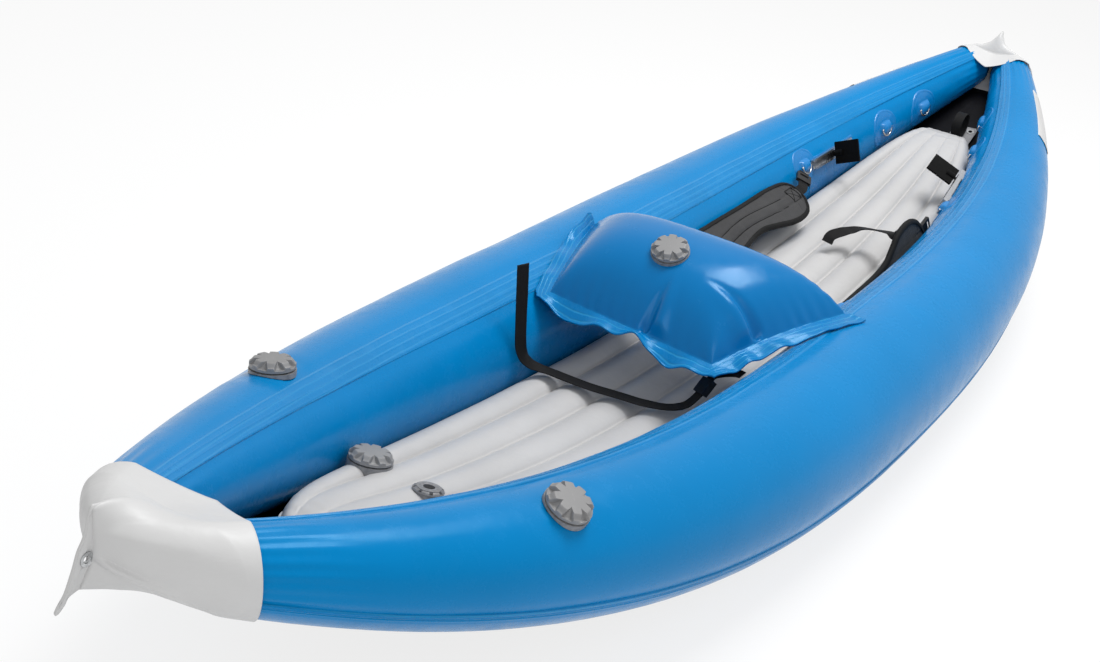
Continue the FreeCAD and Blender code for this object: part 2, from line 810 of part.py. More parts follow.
# the port pad shows its face; the starboard one stands on edge and its rear half is folded narrow
pad_outlines = {
    "port": [
        (-370, -16), (-314, 4), (-254, 6), (-104, 2), (0, 1), (45, -2), (90, -10), (113, -36),
        (110, -68), (84, -97), (47, -107), (-3, -104), (-60, -90), (-114, -79), (-178, -83),
        (-263, -98), (-330, -112), (-370, -96), (-384, -56),
    ],
    "starboard": [
        (-374, -62), (-300, -61), (-200, -60), (-120, -58), (-62, -50), (-26, -30), (2, -10), (36, 1),
        (76, 2), (112, -10), (144, -34), (162, -60), (150, -78), (110, -87), (40, -90), (-60, -92),
        (-200, -95), (-310, -93), (-374, -90), (-384, -76),
    ],
}  # fmt: skip
strap_lines = {
    "port": [(-400, -62), (-300, -54), (-150, -40), (20, -52), (128, -48)],
    "starboard": [(-400, -76), (-300, -77), (-150, -77), (20, -62), (176, -56)],
}
# the starboard strap's loose end lies in an arch over the floor; each row is a point and the way it faces
tail_route = [
    (Vector(562, 139.8, 222), Vector(0, -0.985, -0.174)),
    (Vector(573, 136.6, 222), Vector(0.1, -0.9, 0.1)),
    (Vector(583, 118, 219), Vector(0.2, -0.3, 0.9)),
    (Vector(592, 86, 212), Vector(0.2, 0, 1)),
    (Vector(601, 51, 201), Vector(0, 0.2, 1)),
    (Vector(591, 27, 193), Vector(-0.2, 0.2, 1)),
    (Vector(574, 12, 188), Vector(-0.5, 0.2, 0.8)),
    (Vector(556, 0, 181), Vector(-0.7, 0.2, 0.7)),
    (Vector(544, -2, 168), Vector(-0.8, 0.2, 0.5)),
]


def thigh_pad(side):
    outline = spline([Vector(x, y, -pad_thick / 2) for x, y in pad_outlines[side]], True)
    face = Part.Face(Part.Wire([outline]))
    return put(face.extrude(Vector(0, 0, pad_thick)), thigh_place(side))


def ribbon(points, faces, width):
    # flat webbing through the points, each with the way its face looks
    corners = []
    for i, p in enumerate(points):
        ahead = unit(points[min(i + 1, len(points) - 1)] - points[max(i - 1, 0)])
        out = unit(faces[i] - ahead * faces[i].dot(ahead))
        side = ahead.cross(out) * (width / 2)
        half = out * (webbing_thick / 2)
        corners.append([p - side - half, p + side - half, p + side + half, p - side + half])
    edges = [spline([ring[k] for ring in corners]) for k in range(4)]
    shell = [Part.makeRuledSurface(edges[k], edges[(k + 1) % 4]) for k in range(4)]
    shell += [Part.Face(polygon(corners[0])), Part.Face(polygon(corners[-1]))]
    sewn = Part.makeShell(shell)
    sewn.sewShape()
    solid = Part.makeSolid(sewn)
    if solid.Volume < 0:
        solid.reverse()
    return solid


def thigh_spots(side):
    # where the webbing runs over the pad, and the way the pad faces
    at = thigh_place(side)
    face = at.Rotation.multVec(Vector(0, 0, 1))
    lift = pad_thick / 2 + webbing_thick / 2 + weld_gap
    return face, [at.multVec(Vector(x, y, lift)) for x, y in strap_lines[side]]


def thigh_lead(side, nose, share):
    # a point of the straight run from the pad's nose to the strap's front anchor
    return blend(nose, thigh_front[side], share)


def thigh_webbing(side):
    face, spots = thigh_spots(side)
    front = [blend(spots[3], spots[4], t) for t in (0, 0.35, 0.7, 1)]
    front += [thigh_lead(side, spots[4], t) for t in (0.2, 0.4, 0.6, 0.8, 1)]
    rear = [spots[1], spots[0], thigh_rear]
    made = ribbon(spots[1:4], [face] * 3, webbing_width)
    pieces = [ribbon(front, [face] * len(front), webbing_width), ribbon(rear, [face] * 3, webbing_width)]
    if side == "starboard":
        pieces.append(ribbon([p for p, f in tail_route], [f for p, f in tail_route], webbing_width))
    return made.fuse(pieces)


def thigh_buckle(side):
    face, spots = thigh_spots(side)
    ahead = unit(thigh_front[side] - spots[4])
    spot = place(thigh_lead(side, spots[4], 0.6), ahead, face - ahead * face.dot(ahead))
    frame = box(buckle_length, buckle_width, buckle_thick, Vector(0, 0, 0))
    slot = box(buckle_length + 2, webbing_width + buckle_room, webbing_thick + buckle_room, Vector(0, 0, 0))
    window = box(7, webbing_width - 2, 20, Vector(6, 0, 0))
    return put(frame.cut(slot).cut(window), spot)


# ---- the strap across the floor behind the seat ----
# it stands up free by the port tube; each row is a point and the way the strap faces there
strap_route = [
    (Vector(-430, 181, 353), Vector(-0.35, -0.94, 0)),
    (Vector(-430, 177, 305), Vector(-0.35, -0.94, 0)),
    (Vector(-431, 172, 250), Vector(-0.3, -0.95, 0)),
    (Vector(-430, 168, 205), Vector(-0.3, -0.95, 0)),
    (Vector(-423, 165, 182), Vector(-0.2, -0.9, 0.3)),
    (Vector(-407, 161, 162), Vector(-0.1, -0.7, 0.7)),
    (Vector(-391, 149, 150), Vector(0, -0.3, 1)),
    (Vector(-381, 126, 145), Vector(0, 0, 1)),
    (Vector(-379, 88, 144), Vector(0, 0, 1)),
    (Vector(-376, 44, 144), Vector(0, 0, 1)),
    (Vector(-367, -8, 144), Vector(0, 0, 1)),
    (Vector(-360, -50, 144), Vector(0, 0, 1)),
    (Vector(-345, -90, 145), Vector(0, 0.1, 1)),
    (Vector(-328, -114, 151), Vector(-0.2, 0.3, 0.9)),
    (Vector(-314, -127, 166), Vector(-0.4, 0.5, 0.7)),
    (Vector(-298, -134, 184), Vector(-0.5, 0.6, 0.6)),
    (Vector(-281, -140, 202), Vector(-0.5, 0.6, 0.6)),
    (Vector(-272, -158, 212), Vector(-0.4, 0.3, 0.8)),
    (Vector(-270, -176, 216), Vector(-0.2, 0.2, 1)),
    (Vector(-270, -188, 217), Vector(0, 0.2, 1)),
]
strap_buckle_at = 15  # the row the buckle sits on


def cross_strap():
    return ribbon([p for p, f in strap_route], [f for p, f in strap_route], webbing_width)


def cross_buckle():
    at, face = strap_route[strap_buckle_at]
    ahead = strap_route[strap_buckle_at + 1][0] - strap_route[strap_buckle_at - 1][0]
    spot = place(at, ahead, face)
    frame = box(buckle_length, buckle_width, buckle_thick + 4, Vector(0, 0, 0))
    slot_high = webbing_thick + 2 * buckle_room
    slot = box(buckle_length + 2, webbing_width + buckle_room, slot_high, Vector(0, 0, 0))
    return put(frame.cut(slot), spot)


# ---- assembly ----
made = {}
tube_outer = tube_solid(0.0)
tube_skin = tube_outer.cut(tube_solid(tube_wall))
floor_outer = floor_solid()
floor_skin = floor_outer.cut(floor_air())
backrest_outer = backrest_solid()
backrest_skin = backrest_outer.cut(backrest_air())

valve_places = {
    "port": tube_place(tube_valve_x, tube_valve_angle["port"]),
    "starboard": tube_place(tube_valve_x, tube_valve_angle["starboard"]),
    "floor": floor_top_place(floor_valve_x, channel(floor_valve_x)[3] - floor_valve_in),
    "backrest": backrest_valve_place(),
}
relief_at = floor_top_place(relief_valve_x, relief_valve_y)

valve_skins = {
    "port": tube_outer,
    "starboard": tube_outer,
    "floor": floor_outer,
    "backrest": backrest_outer,
}
valve_pieces = {"stem": valve_stem, "spring": valve_spring, "seal": valve_seal, "cap": valve_cap}
for name, at in valve_places.items():
    side = mirrored if name == "starboard" else (lambda shape: shape)
    body = put(valve_body(put(valve_skins[name], at.inverse()), clamp_depth[name]), at)
    made[name + "_valve_body"] = side(body)
    for piece, build in valve_pieces.items():
        made[name + "_valve_" + piece] = side(put(build(), at))

made["port_tube"] = welded_tube(tube_skin.cut(put(valve_hole(), valve_places["port"])))
made["starboard_tube"] = mirrored(welded_tube(tube_skin.cut(put(valve_hole(), valve_places["starboard"]))))
made["bottom_panel"] = bottom_panel()
made["port_chafe_strip"] = chafe_strip()
made["starboard_chafe_strip"] = mirrored(chafe_strip())
made["seam_tapes"] = Part.makeCompound(seam_tapes())
made["stern_cap"] = end_cap(-1, cap_ring_stern, tube_end_stern, cap_peak_stern)
made["bow_cap"] = end_cap(1, cap_ring_bow, tube_end_bow, cap_peak_bow)
cap_eyelets = []
for way, peak in ((-1, cap_peak_stern), (1, cap_peak_bow)):
    at = place(cap_eyelet(way, peak), Vector(1, 0, 0), Vector(0, 1, 0))
    cap_eyelets.append(put(eyelet(cap_blade), at))
made["cap_eyelets"] = Part.makeCompound(cap_eyelets)
made["tab_eyelets"] = Part.makeCompound(tab_eyelets())
made["bow_side_patches"] = Part.makeCompound(side_patches())

relief_hole = put(disc(relief_barrel + slide_gap, -20, 20), relief_at)
holes = put(valve_hole(), valve_places["floor"]).fuse(relief_hole)
made["floor_skin"] = floor_skin.cut(holes)
room = put(disc(clamp_radius + 2, -floor_height, 20), valve_places["floor"])
room = room.fuse(put(disc(relief_barrel + 2, -36, 20), relief_at))
made["floor_webs"] = Part.makeCompound([web.cut(room) for web in floor_webs()])
made["relief_valve_body"] = put(relief_body(put(floor_outer, relief_at.inverse())), relief_at)
made["relief_valve_stem"] = put(relief_stem(), relief_at)
made["relief_valve_spring"] = put(relief_spring(), relief_at)
made["floor_bow_tab"] = bow_tab()
made["bow_loop"] = bow_loop()
made["backrest_cushion"] = backrest_skin.cut(put(valve_hole(), valve_places["backrest"]))

patches = [ring_patch(x, a) for x, a in ring_places] + [rail_pad(), rear_anchor()]
made["wall_patches"] = Part.makeCompound(patches + [mirrored(p) for p in patches])
ring_names = ["foot_ring", "middle_ring", "bow_ring"]
for name, (x, angle) in zip(ring_names, ring_places):
    ring = put(d_ring(), ring_place(x, angle))
    made["port_" + name] = ring
    made["starboard_" + name] = mirrored(ring)

for side in ("port", "starboard"):
    turn = mirrored if side == "starboard" else (lambda shape: shape)
    made[side + "_foot_rail"] = turn(rail())
    made[side + "_pedal_slider"] = turn(put(slider(), slider_place(side)))
    made[side + "_pedal"] = turn(put(pedal(pedal_pitch[side]), slider_place(side)))
    made[side + "_thigh_pad"] = turn(thigh_pad(side))
    made[side + "_thigh_webbing"] = turn(thigh_webbing(side))
    made[side + "_thigh_buckle"] = turn(thigh_buckle(side))

made["cross_strap"] = cross_strap()
made["cross_strap_buckle"] = cross_buckle()

for node, shape in made.items():
    shape.exportStep("parts/" + node + ".step")
    print(node, len(shape.Solids), shape.isValid(), round(shape.Volume / 1000, 1), "cm3")
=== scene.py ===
import bpy
import math
import numpy as np
from mathutils import Matrix, Vector, noise


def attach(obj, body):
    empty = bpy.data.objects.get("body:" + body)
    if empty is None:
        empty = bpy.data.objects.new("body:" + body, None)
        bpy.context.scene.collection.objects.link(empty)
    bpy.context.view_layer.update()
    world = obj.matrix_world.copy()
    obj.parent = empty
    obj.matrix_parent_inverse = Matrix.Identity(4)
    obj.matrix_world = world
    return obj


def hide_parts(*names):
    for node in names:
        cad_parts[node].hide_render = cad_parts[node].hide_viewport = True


# One-person inflatable kayak, dressed over its construction model. Metres, +X bow, +Y port, +Z up.

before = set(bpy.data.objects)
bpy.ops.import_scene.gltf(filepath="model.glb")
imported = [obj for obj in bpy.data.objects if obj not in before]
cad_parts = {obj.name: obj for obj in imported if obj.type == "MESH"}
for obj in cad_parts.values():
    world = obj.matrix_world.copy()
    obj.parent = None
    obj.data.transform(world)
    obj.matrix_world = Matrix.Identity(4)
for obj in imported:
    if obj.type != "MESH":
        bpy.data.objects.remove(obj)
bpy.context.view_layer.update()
scene = bpy.context.scene
scene.view_settings.view_transform = "Standard"
print("construction model loaded")

# camera, floor and light
shot = {"place": (-2.4846, -1.0784, 1.4001), "yaw": 30.088, "pitch": -25.851, "roll": 7.081, "lens": 50.06}


def makeCamera():
    yaw, pitch, roll = (math.radians(shot[k]) for k in ("yaw", "pitch", "roll"))
    ahead = Vector((math.cos(yaw) * math.cos(pitch), math.sin(yaw) * math.cos(pitch), math.sin(pitch)))
    level = Vector((math.sin(yaw), -math.cos(yaw), 0))
    over = level.cross(ahead)
    right = math.cos(roll) * level + math.sin(roll) * over
    up = right.cross(ahead)
    data = bpy.data.cameras.new("kayakCamera")
    data.lens = shot["lens"]
    data.sensor_width = 36
    data.clip_start = 0.02
    camera = bpy.data.objects.new("kayakCamera", data)
    scene.collection.objects.link(camera)
    turn = Matrix((right, up, -ahead)).transposed()
    camera.matrix_world = Matrix.Translation(shot["place"]) @ turn.to_4x4()
    scene.camera = camera


studio = {"worldStrength": 0.58, "floorSize": 40, "floorShade": 0.86, "floorGlow": 0.8,
          "keyPower": 114, "keyPlace": (0.9, -0.35, 3.5), "keyTarget": (0.0, 0.0, 0.2), "keySize": 1.7,
          "fillPower": 24, "fillPlace": (-3.0, -1.8, 2.2), "fillTarget": (-0.2, 0.0, 0.2), "fillSize": 2.0}


def areaLamp(kind):
    data = bpy.data.lights.new(kind + "Lamp", "AREA")
    data.energy = studio[kind + "Power"]
    data.size = studio[kind + "Size"]
    lamp = bpy.data.objects.new(kind + "Lamp", data)
    scene.collection.objects.link(lamp)
    lamp.location = studio[kind + "Place"]
    aim = Vector(studio[kind + "Target"]) - lamp.location
    lamp.rotation_euler = aim.to_track_quat("-Z", "Y").to_euler()


def seenWhite(tree):
    # 1 where the camera, a reflection or clear plastic looks straight at it
    path = tree.nodes.new("ShaderNodeLightPath")
    seen = path.outputs["Is Camera Ray"]
    for ray in ("Is Glossy Ray", "Is Transmission Ray"):
        larger = tree.nodes.new("ShaderNodeMath")
        larger.operation = "MAXIMUM"
        tree.links.new(seen, larger.inputs[0])
        tree.links.new(path.outputs[ray], larger.inputs[1])
        seen = larger.outputs[0]
    return seen


def makeStudio():
    world = bpy.data.worlds.new("paleStudio")
    world.use_nodes = True
    scene.world = world
    tree = world.node_tree
    lit = tree.nodes["Background"]
    lit.inputs["Color"].default_value = (1, 1, 1, 1)
    lit.inputs["Strength"].default_value = studio["worldStrength"]
    white = tree.nodes.new("ShaderNodeBackground")
    white.inputs["Strength"].default_value = 1.0
    mixed = tree.nodes.new("ShaderNodeMixShader")
    tree.links.new(seenWhite(tree), mixed.inputs[0])
    tree.links.new(lit.outputs[0], mixed.inputs[1])
    tree.links.new(white.outputs[0], mixed.inputs[2])
    tree.links.new(mixed.outputs[0], tree.nodes["World Output"].inputs["Surface"])

    half = studio["floorSize"] / 2
    mesh = bpy.data.meshes.new("studioFloor")
    corners = [(-half, -half, 0), (half, -half, 0), (half, half, 0), (-half, half, 0)]
    mesh.from_pydata(corners, [], [(0, 1, 2, 3)])
    ground = bpy.data.objects.new("studioFloor", mesh)
    scene.collection.objects.link(ground)
    paint = bpy.data.materials.new("paleFloor")
    paint.use_nodes = True
    tree = paint.node_tree
    dull = tree.nodes.new("ShaderNodeBsdfDiffuse")
    dull.inputs["Color"].default_value = (*[studio["floorShade"]] * 3, 1)
    glow = tree.nodes.new("ShaderNodeEmission")
    glow.inputs["Strength"].default_value = 1.0
    share = tree.nodes.new("ShaderNodeMath")
    share.operation = "MULTIPLY"
    share.inputs[1].default_value = studio["floorGlow"]
    mixed = tree.nodes.new("ShaderNodeMixShader")
    tree.links.new(seenWhite(tree), share.inputs[0])
    tree.links.new(share.outputs[0], mixed.inputs[0])
    tree.links.new(dull.outputs[0], mixed.inputs[1])
    tree.links.new(glow.outputs[0], mixed.inputs[2])
    tree.links.new(mixed.outputs[0], tree.nodes["Material Output"].inputs["Surface"])
    mesh.materials.append(paint)

    areaLamp("key")
    areaLamp("fill")


makeCamera()
makeStudio()
print("camera and studio ready")


# shared surface effects
def groupStart(name, numbers, outputs, vectors=(), colours=()):
    tree = bpy.data.node_groups.new(name, "ShaderNodeTree")

    def takes(label, kind):
        return tree.interface.new_socket(label, in_out="INPUT", socket_type="NodeSocket" + kind)

    for label in vectors:
        takes(label, "Vector")
    for label, value in colours:
        takes(label, "Color").default_value = (*value, 1)
    for label, value in numbers:
        takes(label, "Float").default_value = value
    for label, kind in outputs:
        tree.interface.new_socket(label, in_out="OUTPUT", socket_type="NodeSocket" + kind)
    return tree, tree.nodes.new("NodeGroupInput"), tree.nodes.new("NodeGroupOutput")


def feed(tree, socket, value):
    # a link where the value comes from another node, and a plain setting otherwise
    if isinstance(value, bpy.types.NodeSocket):
        tree.links.new(value, socket)
    elif socket.type == "RGBA" and len(value) == 3:
        socket.default_value = (*value, 1)
    else:
        socket.default_value = value


def addNode(tree, kind, settings=None, **inputs):
    # i0, i1 and so on name an input by its place, and other words by its label
    node = tree.nodes.new("ShaderNode" + kind)
    for key, value in (settings or {}).items():
        setattr(node, key, value)
    for key, value in inputs.items():
        place = int(key[1:]) if key[1:].isdigit() else key
        feed(tree, node.inputs[place], value)
    return node


def noiseOf(tree, place, scale, detail, **rest):
    return addNode(tree, "TexNoise", None, Vector=place, Scale=scale, Detail=detail, **rest).outputs[0]


def objectPlace(tree):
    return addNode(tree, "TexCoord").outputs["Object"]


def sums(tree, kind, a, b, clamp=False):
    return addNode(tree, "Math", {"operation": kind, "use_clamp": clamp}, i0=a, i1=b).outputs[0]


def spread(tree, value, low, high, toLow=0.0, toHigh=1.0):
    return addNode(tree, "MapRange", None, i0=value, i1=low, i2=high, i3=toLow, i4=toHigh).outputs[0]


def tinted(tree, share, first, second, blend="MIX"):
    settings = {"data_type": "RGBA", "blend_type": blend}
    return addNode(tree, "Mix", settings, i0=share, i6=first, i7=second).outputs[2]


def fleckedFilmGroup():
    # coated fabric: fine grain, slow shifts of colour, rubbed and dusty places
    tree, source, end = groupStart(
        "coatedFabric",
        [("Grain", 900.0), ("Shift", 0.12), ("Dust", 0.15), ("Smooth", 0.34)],
        [("Color", "Color"), ("Roughness", "Float"), ("Height", "Float")],
        colours=[("Color", (0.0, 0.2, 0.6)), ("Dust Color", (0.55, 0.6, 0.66))],
    )
    place = objectPlace(tree)
    slow = noiseOf(tree, place, 4.2, 3.0, Roughness=0.55)
    fine = noiseOf(tree, place, source.outputs["Grain"], 2.0)
    rubbed = noiseOf(tree, place, 26.0, 6.0, Roughness=0.72)
    shade = spread(tree, slow, 0.3, 0.7, -1.0, 1.0)
    shade = sums(tree, "MULTIPLY_ADD", shade, source.outputs["Shift"])
    shade.node.inputs[2].default_value = 1.0
    grey = addNode(tree, "CombineColor", None, i0=shade, i1=shade, i2=shade).outputs[0]
    toned = tinted(tree, 1.0, source.outputs["Color"], grey, "MULTIPLY")
    dusty = sums(tree, "MULTIPLY", spread(tree, rubbed, 0.52, 0.8), source.outputs["Dust"], True)
    coloured = tinted(tree, dusty, toned, source.outputs["Dust Color"])
    tree.links.new(coloured, end.inputs["Color"])
    rough = sums(tree, "MULTIPLY_ADD", spread(tree, rubbed, 0.35, 0.75, -0.06, 0.12), 1.0)
    tree.links.new(source.outputs["Smooth"], rough.node.inputs[2])
    tree.links.new(rough, end.inputs["Roughness"])
    tree.links.new(fine, end.inputs["Height"])
    return tree


def wovenGroup():
    # plain weave that follows the strip: u along it and v across it, in metres
    tree, source, end = groupStart(
        "wovenYarn",
        [("Yarns", 900.0), ("Depth", 0.45)],
        [("Mask", "Float"), ("Height", "Float")],
        vectors=["Vector"],
    )
    split = addNode(tree, "SeparateXYZ", None, i0=source.outputs["Vector"])
    warp, weft = (
        sums(tree, "SINE", sums(tree, "MULTIPLY", split.outputs[i], source.outputs["Yarns"]), 0.0) for i in (0, 1)
    )
    height = spread(tree, sums(tree, "MULTIPLY", warp, weft), -1.0, 1.0)
    tree.links.new(height, end.inputs["Height"])
    mask = sums(tree, "MULTIPLY", height, source.outputs["Depth"], True)
    tree.links.new(mask, end.inputs["Mask"])
    return tree


def pressedLinesGroup():
    # weld lines that run along a tape
    tree, source, end = groupStart(
        "pressedLines",
        [("Lines", 5.0), ("Width", 0.3), ("Waver", 0.02)],
        [("Mask", "Float"), ("Height", "Float")],
        vectors=["Vector"],
    )
    split = addNode(tree, "SeparateXYZ", None, i0=source.outputs["Vector"])
    wobble = noiseOf(tree, objectPlace(tree), 14.0, 3.0)
    shifted = sums(tree, "MULTIPLY_ADD", wobble, source.outputs["Waver"])
    tree.links.new(split.outputs[1], shifted.node.inputs[2])
    turns = sums(tree, "FRACT", sums(tree, "MULTIPLY", shifted, source.outputs["Lines"]), 0.0)
    away = sums(tree, "ABSOLUTE", sums(tree, "SUBTRACT", turns, 0.5), 0.0)
    line = addNode(tree, "MapRange", {"interpolation_type": "SMOOTHSTEP"}, i0=away, i1=0.0, i3=1.0, i4=0.0)
    tree.links.new(source.outputs["Width"], line.inputs[2])
    tree.links.new(line.outputs[0], end.inputs["Mask"])
    tree.links.new(line.outputs[0], end.inputs["Height"])
    return tree


coatedFabric = fleckedFilmGroup()
wovenYarn = wovenGroup()
pressedLines = pressedLinesGroup()


def startMaterial(name, sockets=None):
    material = bpy.data.materials.new(name)
    material.use_nodes = True
    tree = material.node_tree
    shader = tree.nodes["Principled BSDF"]
    for label, value in (sockets or {}).items():
        feed(tree, shader.inputs[label], value)
    return material, tree, shader


def placeGroup(tree, group, values=None):
    node = addNode(tree, "Group", {"node_tree": group})
    for label, value in (values or {}).items():
        feed(tree, node.inputs[label], value)
    return node


def bump(tree, height, strength, distance, normal=None):
    node = addNode(tree, "Bump", None, Height=height, Strength=strength, Distance=distance)
    if normal is not None:
        tree.links.new(normal, node.inputs["Normal"])
    return node.outputs[0]


def layFilm(tree, colour, dustColour, shift, dust, smooth, grain=900.0):
    # the coated fabric's colour, roughness and grain
    return placeGroup(tree, coatedFabric, {
        "Color": colour, "Dust Color": dustColour, "Grain": grain, "Shift": shift, "Dust": dust, "Smooth": smooth,
    })


def joinShader(tree, shader, colour, roughness, normal):
    for label, value in (("Base Color", colour), ("Roughness", roughness), ("Normal", normal)):
        tree.links.new(value, shader.inputs[label])


def coatedMaterial(name, colour, smooth=0.34, shift=0.1, dust=0.12, dustColour=(0.5, 0.6, 0.68), depth=0.00012,
                   creaseScale=16.0, creaseDepth=0.0, sockets=None):
    material, tree, shader = startMaterial(name, sockets)
    film = layFilm(tree, colour, dustColour, shift, dust, smooth)
    grain = bump(tree, film.outputs["Height"], 0.5, depth)
    folds = noiseOf(tree, objectPlace(tree), creaseScale, 4.0, Roughness=0.5, Distortion=0.6)
    normal = bump(tree, folds, 0.6, creaseDepth, grain)
    joinShader(tree, shader, film.outputs["Color"], film.outputs["Roughness"], normal)
    return material


def tapeMaterial(name, colour, lineColour, lines, width=0.3, waver=0.02, smooth=0.26, depth=0.0006):
    material, tree, shader = startMaterial(name, {
        "Coat Weight": 0.08, "Coat Roughness": 0.15, "Specular IOR Level": 0.26, "Specular Tint": (0.35, 0.8, 1.0),
    })
    film = layFilm(tree, colour, (0.2, 0.45, 0.62), 0.08, 0.08, smooth)
    strip = addNode(tree, "UVMap").outputs[0]
    weld = placeGroup(tree, pressedLines, {"Vector": strip, "Lines": lines, "Width": width, "Waver": waver})
    mixed = tinted(tree, sums(tree, "MULTIPLY", weld.outputs["Mask"], 0.45), film.outputs["Color"], lineColour)
    normal = bump(tree, weld.outputs["Height"], 0.7, depth, bump(tree, film.outputs["Height"], 0.3, 0.00005))
    joinShader(tree, shader, mixed, film.outputs["Roughness"], normal)
    return material


def wovenMaterial(name, colour, lightColour, yarns=2600.0, depth=0.5, height=0.00035, sheen=0.25, specular=0.2):
    smooth = 0.72
    material, tree, shader = startMaterial(name, {
        "Sheen Weight": sheen, "Sheen Roughness": 0.5, "Roughness": smooth, "Specular IOR Level": specular,
    })
    strip = addNode(tree, "UVMap").outputs[0]
    yarn = placeGroup(tree, wovenYarn, {"Vector": strip, "Yarns": yarns, "Depth": depth})
    film = layFilm(tree, colour, (0.03, 0.03, 0.03), 0.2, 0.1, smooth, grain=1400.0)
    mixed = tinted(tree, yarn.outputs["Mask"], film.outputs["Color"], lightColour)
    joinShader(tree, shader, mixed, film.outputs["Roughness"], bump(tree, yarn.outputs["Height"], 0.8, height))
    return material


bluePvc = coatedMaterial(
    "bluePvc", (0.0, 0.185, 0.46), smooth=0.25, shift=0.04, dust=0.004, depth=0.00003, creaseScale=7.0,
    creaseDepth=0.0007, sockets={"Specular IOR Level": 0.19, "Specular Tint": (0.25, 0.72, 1.0)},
)
cushionPvc = coatedMaterial(
    "cushionPvc", (0.0, 0.143, 0.385), smooth=0.2, shift=0.03, dust=0.003, depth=0.00003, creaseScale=9.0,
    creaseDepth=0.001, sockets={"Specular IOR Level": 0.28, "Specular Tint": (0.5, 0.78, 1.0)},
)
whitePvc = coatedMaterial(
    "whitePvc", (0.55, 0.55, 0.55), smooth=0.46, shift=0.04, dustColour=(0.5, 0.5, 0.5), creaseDepth=0.003
)
greyPvc = coatedMaterial(
    "greyPvc", (0.47, 0.465, 0.462), smooth=0.4, shift=0.05, dust=0.22, dustColour=(0.36, 0.36, 0.36),
    creaseScale=20.0, creaseDepth=0.002,
)
blackPvc = coatedMaterial(
    "blackPvc", (0.0012, 0.0014, 0.003), smooth=0.55, shift=0.2, dust=0.1, dustColour=(0.01, 0.012, 0.018),
    creaseScale=30.0, creaseDepth=0.002, sockets={"Specular IOR Level": 0.12},
)
tabPvc = coatedMaterial(
    "tabPvc", (0.24, 0.24, 0.25), smooth=0.55, shift=0.15, dust=0.4, dustColour=(0.4, 0.4, 0.4),
    creaseScale=40.0, creaseDepth=0.001,
)
weldedEdge = tapeMaterial("weldedEdge", (0.0, 0.165, 0.43), (0.04, 0.32, 0.56), 95.0, 0.2, 0.012)
innerTape = tapeMaterial("innerTape", (0.002, 0.185, 0.46), (0.03, 0.27, 0.54), 78.0, 0.18, 0.004, depth=0.0003)
lowerTape = tapeMaterial("lowerTape", (0.0, 0.175, 0.45), (0.03, 0.30, 0.54), 110.0, 0.25, 0.004)
paleEdge = tapeMaterial("paleEdge", (0.56, 0.58, 0.59), (0.74, 0.76, 0.77), 150.0, 0.25, 0.01)
webbingCloth = wovenMaterial("webbingCloth", (0.0012, 0.0012, 0.0014), (0.009, 0.009, 0.010), sheen=0.03)
padCloth = wovenMaterial(
    "padCloth", (0.022, 0.022, 0.023), (0.062, 0.062, 0.064), yarns=1700.0, depth=0.6, height=0.0005,
    sheen=0.05, specular=0.3,
)
bindingCloth = wovenMaterial("bindingCloth", (0.001, 0.001, 0.001), (0.008, 0.008, 0.008), yarns=2200.0, sheen=0.02)
print("surface effects ready")


# mesh helpers
def makePiece(name, points, faces, material, body="hull", uvs=None, smooth=True, stands=(), finish=None):
    mesh = bpy.data.meshes.new(name)
    mesh.from_pydata([tuple(p) for p in points], [], faces)
    if uvs is not None:
        layer = mesh.uv_layers.new(name="strip")
        flat = np.array([uvs[loop.vertex_index] for loop in mesh.loops], dtype=np.float32)
        layer.data.foreach_set("uv", flat.ravel())
    mesh.materials.append(material)
    mesh.polygons.foreach_set("use_smooth", [smooth] * len(mesh.polygons))
    mesh.update()
    piece = bpy.data.objects.new(name, mesh)
    scene.collection.objects.link(piece)
    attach(piece, body)
    if stands:
        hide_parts(*stands)
    return piece


def gridFaces(rows, columns, closed=False, start=0):
    faces = []
    for i in range(rows - 1):
        for k in range(columns if closed else columns - 1):
            a = start + i * columns + k
            b = start + i * columns + (k + 1) % columns
            faces.append((a, b, b + columns, a + columns))
    return faces


def closedFaces(rows, columns):
    # a ring of faces along the rows, with both ends covered
    last = (rows - 1) * columns
    return gridFaces(rows, columns, True) + [tuple(range(columns))[::-1], tuple(range(last, last + columns))]


def flipped(faces):
    return [face[::-1] for face in faces]


def gridBorder(rows, columns):
    # the numbers of the points round a grid's edge, in order
    size = rows * columns
    ring = list(range(columns)) + [i * columns + columns - 1 for i in range(1, rows)]
    return ring + [size - 1 - k for k in range(1, columns)] + [i * columns for i in range(rows - 2, 0, -1)]


def cutHoles(points, faces, holes):
    # leaves out the faces that reach into a hole, given by its centre and radius
    gone = {i for i, p in enumerate(points) if any((p - centre).length < radius for centre, radius in holes)}
    return [face for face in faces if not gone.intersection(face)]


def thicken(piece, thickness, offset=0.0):
    cloth = piece.modifiers.new("cloth", "SOLIDIFY")
    cloth.thickness = thickness
    cloth.offset = offset


def allPoints(rows):
    return [p for row in rows for p in row]


def lengthsAlong(points):
    lengths = [0.0]
    for p, q in zip(points, points[1:]):
        lengths.append(lengths[-1] + (q - p).length)
    return lengths


def polarPoint(place, radius, turn, level):
    # a point round a fitting's axis
    origin, xAxis, yAxis, zAxis = place
    return origin + xAxis * (radius * math.cos(turn)) + yAxis * (radius * math.sin(turn)) + zAxis * level


def gridUvs(rows):
    # along the rows and across them, in metres
    uvs = []
    gone = 0.0
    middle = len(rows[0]) // 2
    for i, row in enumerate(rows):
        if i:
            gone += (row[middle] - rows[i - 1][middle]).length
        wide = 0.0
        for k, p in enumerate(row):
            if k:
                wide += (p - row[k - 1]).length
            uvs.append((gone, wide))
    return uvs


